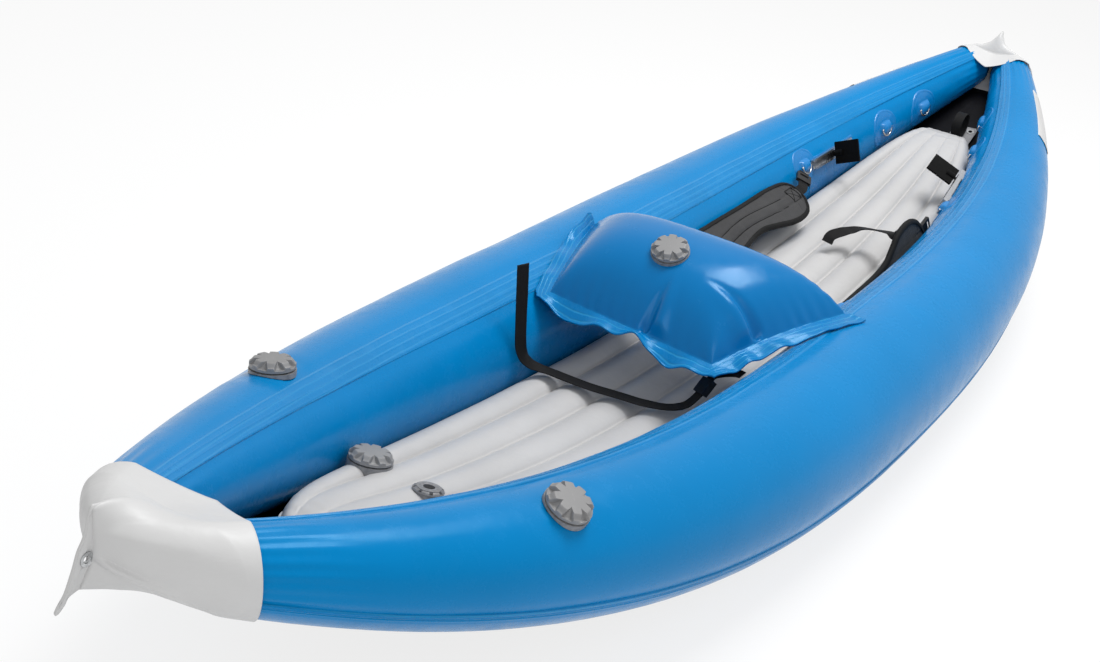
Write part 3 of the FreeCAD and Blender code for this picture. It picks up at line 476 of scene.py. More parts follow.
def gridPiece(name, rows, material, closed=False, flip=False, **rest):
    faces = gridFaces(len(rows), len(rows[0]), closed)
    if flip:
        faces = flipped(faces)
    return makePiece(name, allPoints(rows), faces, material, uvs=gridUvs(rows), **rest)


def even(first, last, count):
    return [first + (last - first) * i / (count - 1) for i in range(count)]


def mix(a, b, t):
    return a + (b - a) * t


def bell(distance, width):
    return math.exp(-((distance / width) ** 2))


def soft(low, high, value):
    t = min(1.0, max(0.0, (value - low) / (high - low)))
    return t * t * (3 - 2 * t)


def ripple(point, scale, seed=0.0):
    return noise.noise(Vector((point[0] * scale + seed, point[1] * scale - seed, point[2] * scale)))


def across(p):
    return Vector((p[0], -p[1], p[2]))


def sideOf(name):
    return 1 if name == "port" else -1


def smoothLine(points, count):
    # a smooth line through the points, evenly spaced along its length
    pts = [2 * points[0] - points[1]] + list(points) + [2 * points[-1] - points[-2]]
    fine = []
    for i in range(1, len(pts) - 2):
        a, b, c, d = pts[i - 1 : i + 3]
        for k in range(24):
            t = k / 24
            bent = (2 * a - 5 * b + 4 * c - d) * t * t + (3 * b - a - 3 * c + d) * t**3
            fine.append(0.5 * (2 * b + (c - a) * t + bent))
    fine.append(pts[-2].copy())
    lengths = lengthsAlong(fine)
    out = []
    at = 0
    for k in range(count):
        want = lengths[-1] * k / (count - 1)
        while at < len(fine) - 2 and lengths[at + 1] < want:
            at += 1
        step = max(1e-9, lengths[at + 1] - lengths[at])
        out.append(mix(fine[at], fine[at + 1], (want - lengths[at]) / step))
    return out


def sweep(name, line, faces, profile, material, **rest):
    # profile points are (sideways, outwards) from the line, round a closed section
    rows, uvs = [], []
    for i, gone in enumerate(lengthsAlong(line)):
        ahead = (line[min(i + 1, len(line) - 1)] - line[max(i - 1, 0)]).normalized()
        out = (faces[i] - ahead * faces[i].dot(ahead)).normalized()
        side = ahead.cross(out)
        rows.append([line[i] + side * s + out * n for s, n in profile])
        uvs += [(gone, s) for s, n in profile]
    return makePiece(name, allPoints(rows), closedFaces(len(rows), len(profile)), material, uvs=uvs, **rest)


def strapSection(width, thick):
    # flat webbing with softly rounded, slightly fuller edges
    half, tall, fuller = width / 2, thick / 2, 1.35
    over = [(-half, 0), (-half * 0.985, tall * 0.8), (-half * 0.94, tall * fuller), (-half * 0.84, tall)]
    over += [(half * t, tall) for t in (-0.5, -0.17, 0.17, 0.5)]
    over += [(-s, n) for s, n in over[3::-1]]
    return over + [(s, -n) for s, n in over[-2:0:-1]]


# hull
hull = {"widestX": 0.019, "halfLength": 1.524, "spreadMid": 0.314, "spreadEnd": 0.037, "spreadPower": 2.9,
        "radiusMid": 0.139, "radiusEnd": 0.0433, "taperPower": 2.15, "keel": 0.0018, "rise": 0.256, "risePower": 2.42,
        "sternEnd": -1.438, "bowEnd": 1.503, "unevenness": 0.0014, "rows": 300, "aroundSteps": 112,
        "sheetRows": 220, "sheetColumns": 29, "sheetThick": 0.0014}


def run(x):
    return abs(x - hull["widestX"]) / hull["halfLength"]


def spreadAt(x):
    return hull["spreadMid"] - (hull["spreadMid"] - hull["spreadEnd"]) * run(x) ** hull["spreadPower"]


def riseAt(x):
    return hull["keel"] + hull["radiusMid"] + hull["rise"] * run(x) ** hull["risePower"]


def radiusAt(x):
    return hull["radiusMid"] - (hull["radiusMid"] - hull["radiusEnd"]) * run(x) ** hull["taperPower"]


def slopeOf(line, x):
    return (line(x + 0.0005) - line(x - 0.0005)) / 0.001


def tubePoint(x, angle, out=0.0, side=1):
    a = math.radians(angle)
    wide = radiusAt(x) * math.hypot(1, slopeOf(spreadAt, x)) + out
    tall = radiusAt(x) * math.hypot(1, slopeOf(riseAt, x)) + out
    return Vector((x, side * (spreadAt(x) + wide * math.cos(a)), riseAt(x) + tall * math.sin(a)))


def bottomTop(x):
    return riseAt(x) - radiusAt(x) * math.hypot(1, slopeOf(riseAt, x)) - 0.0003


def tubeFrame(x, angle, side=1, out=0.0):
    # origin, along, sideways and outwards on a tube's wall
    along = (tubePoint(x + 0.001, angle, 0, side) - tubePoint(x - 0.001, angle, 0, side)).normalized()
    around = tubePoint(x, angle + 0.5, 0, side) - tubePoint(x, angle - 0.5, 0, side)
    face = around.cross(along).normalized() * side
    return tubePoint(x, angle, out, side), along, face.cross(along), face


valves = {"tubeX": -0.992, "portAngle": 84.0, "starboardAngle": 66.0, "opening": 0.024, "pullAt": 0.048}
# welds that draw the skin in: angle, depth, width in degrees
skinWelds = [(104, 0.0011, 3.2), (135, 0.0009, 3.2), (-19, 0.0010, 3.0)]


def valvePlace(side):
    return tubePoint(valves["tubeX"], valves["portAngle"] if side > 0 else valves["starboardAngle"], 0, side)


def swollenSkin(x, angle, side):
    # small unevenness of a blown-up tube: slow waves, the pull of the seam and of the fittings
    p = tubePoint(x, angle, 0, side)
    out = hull["unevenness"] * ripple(p, 3.1, 4.0 * side) + 0.5 * hull["unevenness"] * ripple(p, 8.0, 9.0)
    out -= sum(depth * bell(angle - at, width) for at, depth, width in skinWelds)
    for end, way in ((hull["sternEnd"] + 0.05, 1), (hull["bowEnd"] - 0.03, -1)):
        near = bell(x - end, 0.07)
        if near > 0.01:
            out += 0.0007 * near * math.sin(math.radians(angle) * 23 + 2.0 * ripple(p, 9.0, 2.0))
    if angle > 100 and x > 0.55:
        pull = soft(0.55, 0.8, x) * bell(angle - 158, 26)
        out += 0.0019 * pull * ripple(p, 21.0, 7.0)
    out -= 0.0014 * bell((p - valvePlace(side)).length - valves["pullAt"], 0.018)
    return out


def tubeSkin(name, side):
    columns = hull["aroundSteps"]
    rows = []
    for x in even(hull["sternEnd"], hull["bowEnd"], hull["rows"]):
        row = []
        for k in range(columns):
            angle = 360 * k / columns - 90
            if angle > 180:
                angle -= 360
            row.append(tubePoint(x, angle, swollenSkin(x, angle, side), side))
        rows.append(row)
    points = allPoints(rows)
    faces = closedFaces(len(rows), columns)
    if side > 0:
        faces = flipped(faces)
    faces = cutHoles(points, faces, [(valvePlace(side), valves["opening"])])
    makePiece(name + "TubeSkin", points, faces, bluePvc, stands=(name + "_tube",), finish="blue_pvc")


tapes = {"innerFrom": 108.0, "innerTo": 131.0, "lowerFrom": -27.6, "lowerTo": -21.6, "endGap": 0.002, "rows": 240,
         "innerWelds": (0.1, 0.34, 0.62, 0.9), "lowerWelds": (0.28, 0.75)}
chafe = {"low": -89.5, "high": -28.0, "lines": (0.965, 0.93, 0.06, 0.03), "rows": 200}


def wallBand(name, side, x0, x1, angle0, angle1, out, material, columns=15, rows=60, **rest):
    # out(x, share) is the height over the tube's wall; the edges tuck in under it
    grid = []
    for x in even(x0, x1, rows):
        row = []
        for k in range(columns):
            share = k / (columns - 1)
            first, last = (f(x) if callable(f) else f for f in (angle0, angle1))
            lift = -0.0012 if k in (0, columns - 1) else out(x, share)
            row.append(tubePoint(x, mix(first, last, share), lift, side))
        grid.append(row)
    return gridPiece(name, grid, material, flip=side > 0, **rest)


def seamTape(name, side):
    def innerHeight(x, share):
        welds = sum(bell(share - at - 0.012 * ripple((x, at, 0), 6.0), 0.028) for at in tapes["innerWelds"])
        waves = 0.0005 * ripple((x, share * 0.1, side), 16.0, 3.0)
        return 0.0015 + 0.0006 * welds + waves

    def innerLow(x):
        return tapes["innerFrom"] + 0.5 * ripple((x, 0, side), 5.0)

    def innerHigh(x):
        return tapes["innerTo"] + 0.6 * ripple((x, 1, side), 4.0)

    def lowerHeight(x, share):
        welds = sum(bell(share - at, 0.1) for at in tapes["lowerWelds"])
        return 0.0014 + 0.0011 * welds + 0.0003 * ripple((x, share, 0), 20.0)

    x0, x1 = hull["sternEnd"] + tapes["endGap"], hull["bowEnd"] - tapes["endGap"]
    first = wallBand(
        name + "InnerTape", side, x0, x1, innerLow, innerHigh, innerHeight, innerTape, columns=41,
        rows=tapes["rows"], finish="light_blue_pvc",
    )
    wallBand(
        name + "LowerTape", side, x0, x1, tapes["lowerFrom"], tapes["lowerTo"], lowerHeight, lowerTape, columns=21,
        rows=tapes["rows"], finish="light_blue_pvc",
    )
    return first


def chafeStrip(name, side):
    def height(x, share):
        lines = sum(bell(share - at, 0.012) for at in chafe["lines"])
        return 0.0017 - 0.0007 * lines + 0.0004 * ripple((x, share * 0.2, side), 12.0)

    wallBand(
        name + "ChafeStrip", side, hull["sternEnd"], hull["bowEnd"], chafe["low"], chafe["high"], height, bluePvc,
        columns=49, rows=chafe["rows"], stands=(name + "_chafe_strip",), finish="blue_pvc",
    )


def bottomSheet():
    rows = []
    for x in even(hull["sternEnd"], hull["bowEnd"], hull["sheetRows"]):
        reach = spreadAt(x) - 0.0003
        row = []
        for t in even(-1, 1, hull["sheetColumns"]):
            folds = 0.0006 * ripple((x, t * reach, 0), 18.0)
            row.append(Vector((x, t * reach, bottomTop(x) - 0.0008 + folds)))
        rows.append(row)
    piece = gridPiece("bottomSheet", rows, blackPvc, stands=("bottom_panel",), finish="black_pvc")
    thicken(piece, hull["sheetThick"])


for sideName in ("port", "starboard"):
    tubeSkin(sideName, sideOf(sideName))
    tape = seamTape(sideName, sideOf(sideName))
    if sideName == "port":
        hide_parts("seam_tapes")
    chafeStrip(sideName, sideOf(sideName))
bottomSheet()
print("hull skins, tapes and bottom made")

# end caps: sleeves over both tubes' ends, drawn together into an upright fin
caps = {
    "halfLength": 1.597, "peakBack": 0.054, "tabZ": 0.357, "tabDrop": 0.016, "wall": 0.0016, "blade": 0.0032,
    "eyeletBack": 0.045, "eyeletHole": 0.0058, "sleeveRows": 20, "drawnRows": 36,
    "bladeSteps": [(1.0, 0.0006), (0.985, 0.0016), (0.93, 0.0021), (0.88, 0.0013), (0.7, 0.0016), (0.45, 0.0016),
                   (0.2, 0.0016), (0.0, 0.0016)],
    "stern": {"way": -1, "ring": 1.395, "end": 1.438, "peak": 0.472, "crumple": 0.0022, "top": 0.98, "low": 0.78,
              "finLow": 0.50, "crownEase": 1.0, "flankEase": 1.18},
    "bow": {"way": 1, "ring": 1.484, "end": 1.503, "peak": 0.482, "crumple": 0.0042, "top": 0.92, "low": 0.44,
            "finLow": 0.36, "crownEase": 0.72, "flankEase": 0.8},
}


def sleeveSpots():
    # where each point of the sleeve lies round the pair of tubes: a side and an angle, or a share of the gap
    spots = [(1, a, None) for a in even(0, 90, 33)]
    spots += [(0, 90, t) for t in even(0.92, -0.92, 23)]
    spots += [(-1, a, None) for a in even(90, -90, 65)]
    spots += [(0, -90, t) for t in even(-0.92, 0.92, 23)]
    return spots + [(1, a, None) for a in even(-90, -3, 31)]


def sleevePoint(spot, x, out, sag):
    side, angle, share = spot
    if side:
        return tubePoint(x, angle, out, side)
    edge = tubePoint(x, angle, out)
    dip = sag * (1 - abs(share) ** 1.4) if angle > 0 else 0.0
    return Vector((x, edge.y * share, edge.z - dip))


def alongOutline(points, shares):
    # places on a closed outline at shares of its length
    ring = points + [points[0]]
    lengths = lengthsAlong(ring)
    out = []
    for share in shares:
        want = share * lengths[-1]
        i = max(k for k in range(len(points)) if lengths[k] <= want + 1e-12)
        out.append(mix(ring[i], ring[i + 1], (want - lengths[i]) / max(1e-9, lengths[i + 1] - lengths[i])))
    return out


def finOutline(cap, shares):
    lowZ = caps["tabZ"] + caps["tabDrop"] + 0.002
    topZ = cap["peak"] - 0.003
    midZ = (lowZ + topZ) / 2
    half = caps["blade"] / 2
    thin = [Vector((0, half, midZ)), Vector((0, half, topZ - half)), Vector((0, 0, topZ))]
    thin += [Vector((0, -p.y, p.z)) for p in thin[1::-1]]
    thin += [Vector((0, p.y, 2 * midZ - p.z)) for p in thin[3:0:-1]]
    return alongOutline(thin, shares)


def endCap(name):
    cap = caps[name]
    way, end = cap["way"], cap["end"] + 0.002
    out = hull["keel"] + 0.0003 + caps["wall"]
    lean = abs(slopeOf(spreadAt, way * cap["ring"]))
    ringY = spreadAt(way * cap["ring"])
    spots = sleeveSpots()
    hem = [sleevePoint(spot, way * cap["ring"], out, 0.0) for spot in spots]
    wide = [sleevePoint(spot, way * end, out, 0.010) for spot in spots]
    lengths = lengthsAlong(wide + wide[:1])
    thin = finOutline(cap, [length / lengths[-1] for length in lengths[:-1]])
    topX = mix(cap["end"], caps["halfLength"] - caps["peakBack"], cap["top"])
    lowX = mix(cap["end"], caps["halfLength"], cap["low"])
    lowZ = min(p.z for p in thin)
    tall = max(p.z for p in thin) - lowZ
    rows = []
    for share in even(0, 1, caps["sleeveRows"])[:-1]:
        row = []
        for spot, edge in zip(spots, hem):
            x = mix(cap["ring"] + lean * (abs(edge.y) - ringY), end, share)
            row.append(sleevePoint(spot, way * x, out, mix(0.022, 0.010, share)))
        rows.append(row)
    for share in even(0, 1, caps["drawnRows"]):
        row = []
        for spot, p, q in zip(spots, wide, thin):
            reach = mix(topX, lowX, (1 - (q.z - lowZ) / tall) ** 5)
            side = soft(80, 45, abs(spot[1])) if spot[0] else 0.0
            point = mix(p, q, share ** mix(cap["crownEase"], cap["flankEase"], side))
            point.x = way * mix(end, reach, share)
            if spot[0] == 0 and spot[1] > 0:
                point.z += 0.011 * (1 - abs(spot[2])) * math.sin(math.pi * share) ** 0.8
            row.append(point)
        rows.append(row)
    for row, share in zip(rows[caps["sleeveRows"] - 1 :], even(0, 1, caps["drawnRows"])):
        for spot, p in zip(spots, row):
            if spot[0] and spot[1] < 0 and way < 0:
                tuck = bell(spot[1] + 47, 9) * soft(0.35, 0.8, share) * soft(1.0, 0.93, share)
                p.y += spot[0] * 0.012 * tuck
                p.z -= 0.004 * tuck
    centre = Vector((way * (cap["end"] - 0.04), 0, cap["peak"] - 0.08))
    for i, row in enumerate(rows):
        along = i / (len(rows) - 1)
        loose = soft(0.2, 0.55, along) * (1 - soft(0.94, 1.0, along))
        for p in row:
            away = p - centre
            away.x *= 0.3
            away.normalize()
            folds = ripple(p, 13.0, 3.0 * way) + 0.55 * ripple((p.x * 0.5, p.y, p.z), 45.0, 1.0)
            p += away * (cap["crumple"] * loose * folds)
    faces = gridFaces(len(rows), len(spots), True)
    last = (len(rows) - 1) * len(spots)
    faces.append(tuple(range(last, last + len(spots))))
    if way > 0:
        faces = flipped(faces)
    piece = makePiece(
        name + "CapCloth", allPoints(rows), faces, whitePvc, uvs=gridUvs(rows), stands=(name + "_cap",),
        finish="white_pvc",
    )
    thicken(piece, caps["wall"], -1)


def finBlade(name):
    # the welded fin: two sheets pressed flat round the eyelet's hole, with a narrow tab at its foot
    cap = caps[name]
    way = cap["way"]
    length, top = caps["halfLength"], cap["peak"]
    peakX = length - caps["peakBack"]
    finX = mix(cap["end"], peakX, cap["top"] - 0.2)
    finLow = mix(cap["end"], length, cap["finLow"])
    tabZ = caps["tabZ"]
    corners = [
        (finX - 0.016, top - 0.018), (finX + 0.004, top - 0.0045), (peakX - 0.006, top - 0.0006),
        (peakX + 0.001, top - 0.002), (length - 0.043, top - 0.034), (length - 0.034, tabZ + 0.066),
        (length - 0.026, tabZ + 0.044), (length - 0.014, tabZ + 0.019), (length - 0.0015, tabZ + 0.004),
        (length - 0.0035, tabZ), (length - 0.012, tabZ + 0.006), (length - 0.022, tabZ + 0.0155),
        (finLow + 0.012, tabZ + 0.0215), (finLow - 0.008, tabZ + 0.028), (finLow - 0.02, tabZ + 0.05),
    ]
    outline = [Vector((x, 0, z)) for x, z in corners]
    outline = smoothLine(outline + [outline[0]], 121)[:-1]
    hole = Vector((length - caps["eyeletBack"], 0, mix(tabZ, top, 0.45)))
    rows = []
    for face in (1, -1):
        half = []
        for share, thick in caps["bladeSteps"]:
            ring = []
            for p in outline:
                rim = hole + (p - hole).normalized() * caps["eyeletHole"]
                q = mix(rim, p, share)
                bow = 0.0014 * ripple(q, 22.0, 5.0) * share * (1 - 0.5 * share)
                ring.append(Vector((way * q.x, face * thick + bow, q.z)))
            half.append(ring)
        rows += half[::-1] if face > 0 else half
    faces = gridFaces(len(rows), len(outline), True)
    last = (len(rows) - 1) * len(outline)
    for k in range(len(outline)):
        faces.append((last + k, last + (k + 1) % len(outline), (k + 1) % len(outline), k))
    if way > 0:
        faces = flipped(faces)
    points = allPoints(rows)
    makePiece(name + "FinBlade", points, faces, whitePvc, uvs=[(p.x, p.z) for p in points], finish="white_pvc")


for name in ("stern", "bow"):
    endCap(name)
    finBlade(name)
print("end caps made")

# air floor: five channels between two side tubes
airFloor = {"length": 2.476, "midX": 0.038, "height": 0.118, "thinning": 0.28, "sideGap": 0.011, "channelDepth": 0.014,
            "valveX": -0.932, "reliefX": -0.938, "reliefY": -0.014, "tabLength": 0.084, "tabWidth": 0.060,
            "tabY": -0.020, "tabSlope": 22.0, "loopRadius": 0.030, "loopWidth": 0.025, "rows": 320,
            "valveHole": 0.022, "reliefHole": 0.0135, "rimWidth": 0.0095, "rimSteps": 220, "rimThick": 0.0009,
            "tabThick": 0.0022, "tabRows": 45, "tabColumns": 31, "tabHole": 0.0062, "tabEyelet": (0.016, 0.015),
            "loopBack": 0.039, "loopSide": 0.006, "loopThick": 0.0018, "loopSteps": 96}


def floorShare(x):
    return (x - airFloor["midX"]) / (airFloor["length"] / 2)


def floorHalfHeight(x):
    s = min(1.0, abs(floorShare(x)))
    return airFloor["height"] / 2 * (1 - airFloor["thinning"] * s * s) * math.sqrt(max(0.0, 1 - s**24))


def floorMidZ(x):
    return bottomTop(x) + 0.0003 + floorHalfHeight(x)


def floorHalfWidth(x):
    tall = radiusAt(x) * math.hypot(1, slopeOf(riseAt, x))
    share = min(1.0, abs(floorMidZ(x) - riseAt(x)) / tall)
    wall = spreadAt(x) - radiusAt(x) * math.hypot(1, slopeOf(spreadAt, x)) * math.sqrt(1 - share**2)
    return (wall - airFloor["sideGap"]) * math.sqrt(max(0.0, 1 - abs(floorShare(x)) ** 20))


def channelAt(x):
    w = floorHalfWidth(x)
    t = floorHalfHeight(x)
    return 0.2 * w, 0.6 * w, airFloor["channelDepth"] * t / (airFloor["height"] / 2), w - 0.8 * t


def crestZ(x):
    return floorMidZ(x) + floorHalfHeight(x)


def floorFrame(x, y):
    along = Vector((1, 0, slopeOf(crestZ, x))).normalized()
    face = Vector((-along.z, 0, along.x))
    return Vector((x, y, crestZ(x))), along, face.cross(along), face


def floorValveFrame():
    return floorFrame(airFloor["valveX"], channelAt(airFloor["valveX"])[3] - 0.005)


def reliefFrame():
    return floorFrame(airFloor["reliefX"], airFloor["reliefY"])


def lobeDrop(at, x):
    # how far the top lies under the crests at a sideways place
    inner, outer, dip, crest = channelAt(x)
    crest = max(crest, outer + 0.3 * (floorHalfWidth(x) - outer))
    at = abs(at)
    if at < inner:
        share = at / inner
    elif at < outer:
        share = abs(at - (inner + outer) / 2) / ((outer - inner) / 2)
    else:
        share = max(0.0, (crest - at) / (crest - outer))
    full = 0.04 + 0.96 * soft(0.975, 0.74, abs(floorShare(x)))
    return dip * full * (0.82 * share**2 + 0.18 * share**6) * 1.12


def floorSection(x):
    inner, outer, dip, crest = channelAt(x)
    w = floorHalfWidth(x)
    t = floorHalfHeight(x)
    mid = floorMidZ(x)
    crest = max(crest, outer + 0.3 * (w - outer))
    s = abs(floorShare(x))
    half = [(crest + (w - crest) * math.sin(a), t * math.cos(a)) for a in even(math.pi / 2, 0.1, 15)]
    for y in even(crest, outer, 15)[:-1] + even(outer, inner, 22)[:-1] + even(inner, 0, 12)[:-1]:
        drop = lobeDrop(y, x)
        seam = min(abs(y - inner), abs(y - outer))
        drop += 0.0016 * bell(seam, 0.0022) * (1 - s**8)
        half.append((y, t - drop))
    top = half + [(0.0, t - lobeDrop(0, x))] + [(-y, z) for y, z in half[::-1]]
    low = [(-y, -z) for y, z in top[1:-1]]
    ring = []
    tip = soft(0.86, 0.985, s) * (1 - soft(0.996, 1.0, s))
    for i, (y, z) in enumerate(top + low):
        p = Vector((x, y, mid + z))
        if i < len(top):
            seams = bell(min(abs(abs(y) - inner), abs(abs(y) - outer)), 0.011)
            waves = 0.0010 * ripple(p, 7.0, 5.0) + 0.0009 * seams * ripple((x, y * 0.3, 0), 46.0, 2.0)
            edge = airFloor["length"] / 2 * (1 - s)
            waves += 0.0007 * tip * math.sin(edge / 0.0042 + 1.5 * ripple(p, 16.0)) * soft(0, 0.3, t / 0.04)
            waves += 0.0012 * tip * ripple(p, 42.0, 8.0)
            p.z += waves
        ring.append(p)
    return ring


def makeFloor():
    count = airFloor["rows"]
    stations = []
    for i in range(count):
        u = 2 * i / (count - 1) - 1
        s = math.copysign(1 - (1 - abs(u)) ** 1.9, u)
        stations.append(airFloor["midX"] + 0.9992 * s * airFloor["length"] / 2)
    rows = [floorSection(x) for x in stations]
    points = allPoints(rows)
    holes = [(floorValveFrame()[0], airFloor["valveHole"]), (reliefFrame()[0], airFloor["reliefHole"])]
    faces = cutHoles(points, closedFaces(count, len(rows[0])), holes)
    makePiece(
        "airFloorSkin", points, faces, greyPvc, uvs=gridUvs(rows), stands=("floor_skin", "floor_webs"),
        finish="grey_pvc",
    )


def floorRim(name, way):
    # the welded edge of the floor stands out round each tip as a thin wavy band
    outline = []
    for s in even(0.80, 0.9985, 46):
        x = airFloor["midX"] + way * s * airFloor["length"] / 2
        outline.append(Vector((x, floorHalfWidth(x) - 0.001, floorMidZ(x))))
    tipX = outline[-1].x
    line = outline + [Vector((tipX, y, outline[-1].z)) for y in even(outline[-1].y, -outline[-1].y, 20)[1:-1]]
    line += [across(p) for p in outline[::-1]]
    line = smoothLine(line[::2] + [line[-1]], airFloor["rimSteps"])
    last = len(line) - 1
    rows = []
    for i, p in enumerate(line):
        ahead = (line[min(i + 1, last)] - line[max(i - 1, 0)]).normalized()
        outward = ahead.cross(Vector((0, 0, 1))).normalized()
        if outward.x * way < 0 and abs(outward.x) > 0.5 or outward.y * p.y < 0 and abs(outward.y) > 0.5:
            outward.negate()
        wide = airFloor["rimWidth"] * soft(0.0, 0.08, min(i, last - i) / last) + 0.001
        row = []
        for t in even(0, 1, 7):
            wave = 0.0022 * t * math.sin(i * 0.42 + 2 * ripple(p, 12.0)) + 0.0018 * t * ripple(p, 34.0, 3.0)
            weld = 0.0005 * math.cos(t * 16)
            row.append(p + outward * (t * wide - 0.002) + Vector((0, 0, wave + weld)))
        rows.append(row)
    piece = gridPiece(name, rows, paleEdge, flip=way < 0, finish="grey_pvc")
    thicken(piece, airFloor["rimThick"])


def bowTabFrame():
    x = airFloor["midX"] + airFloor["length"] / 2 * 0.995 + 0.0009
    angle = math.radians(airFloor["tabSlope"])
    along = Vector((math.cos(angle), 0, math.sin(angle)))
    face = Vector((-along.z, 0, along.x))
    return Vector((x, airFloor["tabY"], floorMidZ(x))), along, face.cross(along), face


def bowTab():
    origin, along, side, face = bowTabFrame()
    length, half = airFloor["tabLength"], airFloor["tabWidth"] / 2
    rows = []
    for u in even(0, 1, airFloor["tabRows"]):
        corner = 1 - 0.16 * soft(0.86, 1.0, u) ** 2
        row = []
        for v in even(-1, 1, airFloor["tabColumns"]):
            hem = 0.0006 * (abs(v) > 0.86 or u > 0.93)
            stitch = -0.0004 * bell(abs(v) - 0.84, 0.012)
            lift = hem + stitch + 0.0012 * ripple((u * length, v * half, 0), 30.0, 2.0) + 0.002 * u * v * v
            row.append(origin + along * (u * length) + side * (v * half * corner) + face * lift)
        rows.append(row)
    points = allPoints(rows)
    back, inset = airFloor["tabEyelet"]
    eyelets = [origin + along * (length - back) + side * (s * (half - inset)) for s in (1, -1)]
    holes = [(centre, airFloor["tabHole"]) for centre in eyelets]
    faces = cutHoles(points, gridFaces(airFloor["tabRows"], airFloor["tabColumns"]), holes)
    piece = makePiece(
        "floorTab", points, faces, tabPvc, uvs=gridUvs(rows), stands=("floor_bow_tab",), finish="grey_pvc"
    )
    thicken(piece, airFloor["tabThick"])
    # a ring of webbing sewn down onto the tab
    r, thick = airFloor["loopRadius"], airFloor["loopThick"]
    centre = origin + along * (length - airFloor["loopBack"]) + side * airFloor["loopSide"]
    centre += face * (r + thick + 0.00155)
    line = []
    outs = []
    for i in range(airFloor["loopSteps"] + 1):
        a = 2 * math.pi * i / airFloor["loopSteps"] - math.pi / 2
        squeeze = 1 + 0.06 * math.sin(2 * a) + 0.05 * math.sin(3 * a + 1)
        flat = max(-0.85, math.sin(a))
        high = r * flat * (1.0 if flat < 0 else squeeze) - 0.001
        line.append(centre + along * (math.cos(a) * r * squeeze) + face * high)
        outs.append(along * math.cos(a) + face * math.sin(a))
    sweep(
        "bowWebLoop", line, outs, strapSection(airFloor["loopWidth"], thick), webbingCloth,
        stands=("bow_loop",), finish="webbing",
    )


makeFloor()
floorRim("sternFloorRim", -1)
floorRim("bowFloorRim", 1)
bowTab()
print("air floor made")

# backrest outline, needed for its valve too
backrest = {"frontX": -0.030, "frontPort": 0.302, "frontStarboard": -0.306, "frontZ": 0.284,
            "aftPort": (-0.333, 0.214, 0.252), "aftStarboard": (-0.343, -0.171, 0.229), "edgeLift": 0.013,
            "crown": 0.095, "belly": 0.057, "rim": 0.003, "valveU": 0.58, "valveV": 0.507}


def backrestEdge(side, u):
    front = Vector((backrest["frontX"], backrest["front" + side], backrest["frontZ"]))
    edge = mix(front, Vector(backrest["aft" + side]), u)
    edge.z += backrest["edgeLift"] * math.sin(math.pi * u)
    return edge


def fullness(t, power):
    return max(0.0, 1 - abs(2 * min(1.0, max(0.0, t)) - 1) ** power)


def backrestPoint(u, v, up):
    base = mix(backrestEdge("Starboard", u), backrestEdge("Port", u), v)
    swell = fullness(max(0.0, u) ** 0.8, 2.6)
    high = swell * (backrest["crown"] * fullness(v, 2.6) if up else -backrest["belly"] * fullness(v, 2.0))
    half = backrest["rim"] / 2
    return base + Vector((0, 0, high + (half if up else -half)))


def backrestFrame():
    u, v = backrest["valveU"], backrest["valveV"]
    along = (backrestPoint(u - 0.01, v, True) - backrestPoint(u + 0.01, v, True)).normalized()
    over = (backrestPoint(u, v + 0.01, True) - backrestPoint(u, v - 0.01, True)).normalized()
    face = along.cross(over).normalized()
    return backrestPoint(u, v, True), along, face.cross(along), face


# screw caps
screwCap = {"radius": 0.034, "foot": 0.0045, "height": 0.014, "notches": 8, "notchFrom": 0.0175, "notchWidth": 15.5,
            "rim": 0.0046, "around": 256, "inner": 0.0175, "innerTop": 0.0115, "threads": 4, "pitch": 0.0016,
            "bevelFrom": 0.0075, "bevel": 0.42, "crown": 0.0008}


def plasticMaterial(name, colour, smooth=0.5, wearColour=(0.4, 0.4, 0.41), wear=0.35, sockets=None):
    # moulded plastic, paler where its edges are rubbed
    material, tree, shader = startMaterial(name, sockets)
    film = layFilm(tree, colour, wearColour, 0.08, 0.2, smooth, grain=1800.0)
    share = sums(tree, "MULTIPLY", placeGroup(tree, rubbedEdge).outputs["Mask"], wear, True)
    mixed = tinted(tree, share, film.outputs["Color"], wearColour)
    joinShader(tree, shader, mixed, film.outputs["Roughness"], bump(tree, film.outputs["Height"], 0.6, 0.00008))
    return material


def rubbedEdgeGroup():
    # 1 along outward edges, broken up by noise
    tree, source, end = groupStart("rubbedEdge", [("Sharpness", 8.0)], [("Mask", "Float")])
    pointed = addNode(tree, "NewGeometry").outputs["Pointiness"]
    broken = noiseOf(tree, objectPlace(tree), 130.0, 4.0)
    raised = sums(tree, "SUBTRACT", pointed, 0.515)
    steep = sums(tree, "MULTIPLY", sums(tree, "MULTIPLY", raised, source.outputs["Sharpness"]), 3.0, True)
    tree.links.new(sums(tree, "MULTIPLY", steep, spread(tree, broken, 0.3, 0.6)), end.inputs["Mask"])
    return tree


rubbedEdge = rubbedEdgeGroup()
capGrey = plasticMaterial("capGrey", (0.205, 0.205, 0.208), smooth=0.5)
valveGrey = plasticMaterial("valveGrey", (0.15, 0.15, 0.155), smooth=0.45)
fittingBlack = plasticMaterial(
    "fittingBlack", (0.005, 0.005, 0.0055), smooth=0.4, wearColour=(0.03, 0.03, 0.031),
    sockets={"Specular IOR Level": 0.35},
)


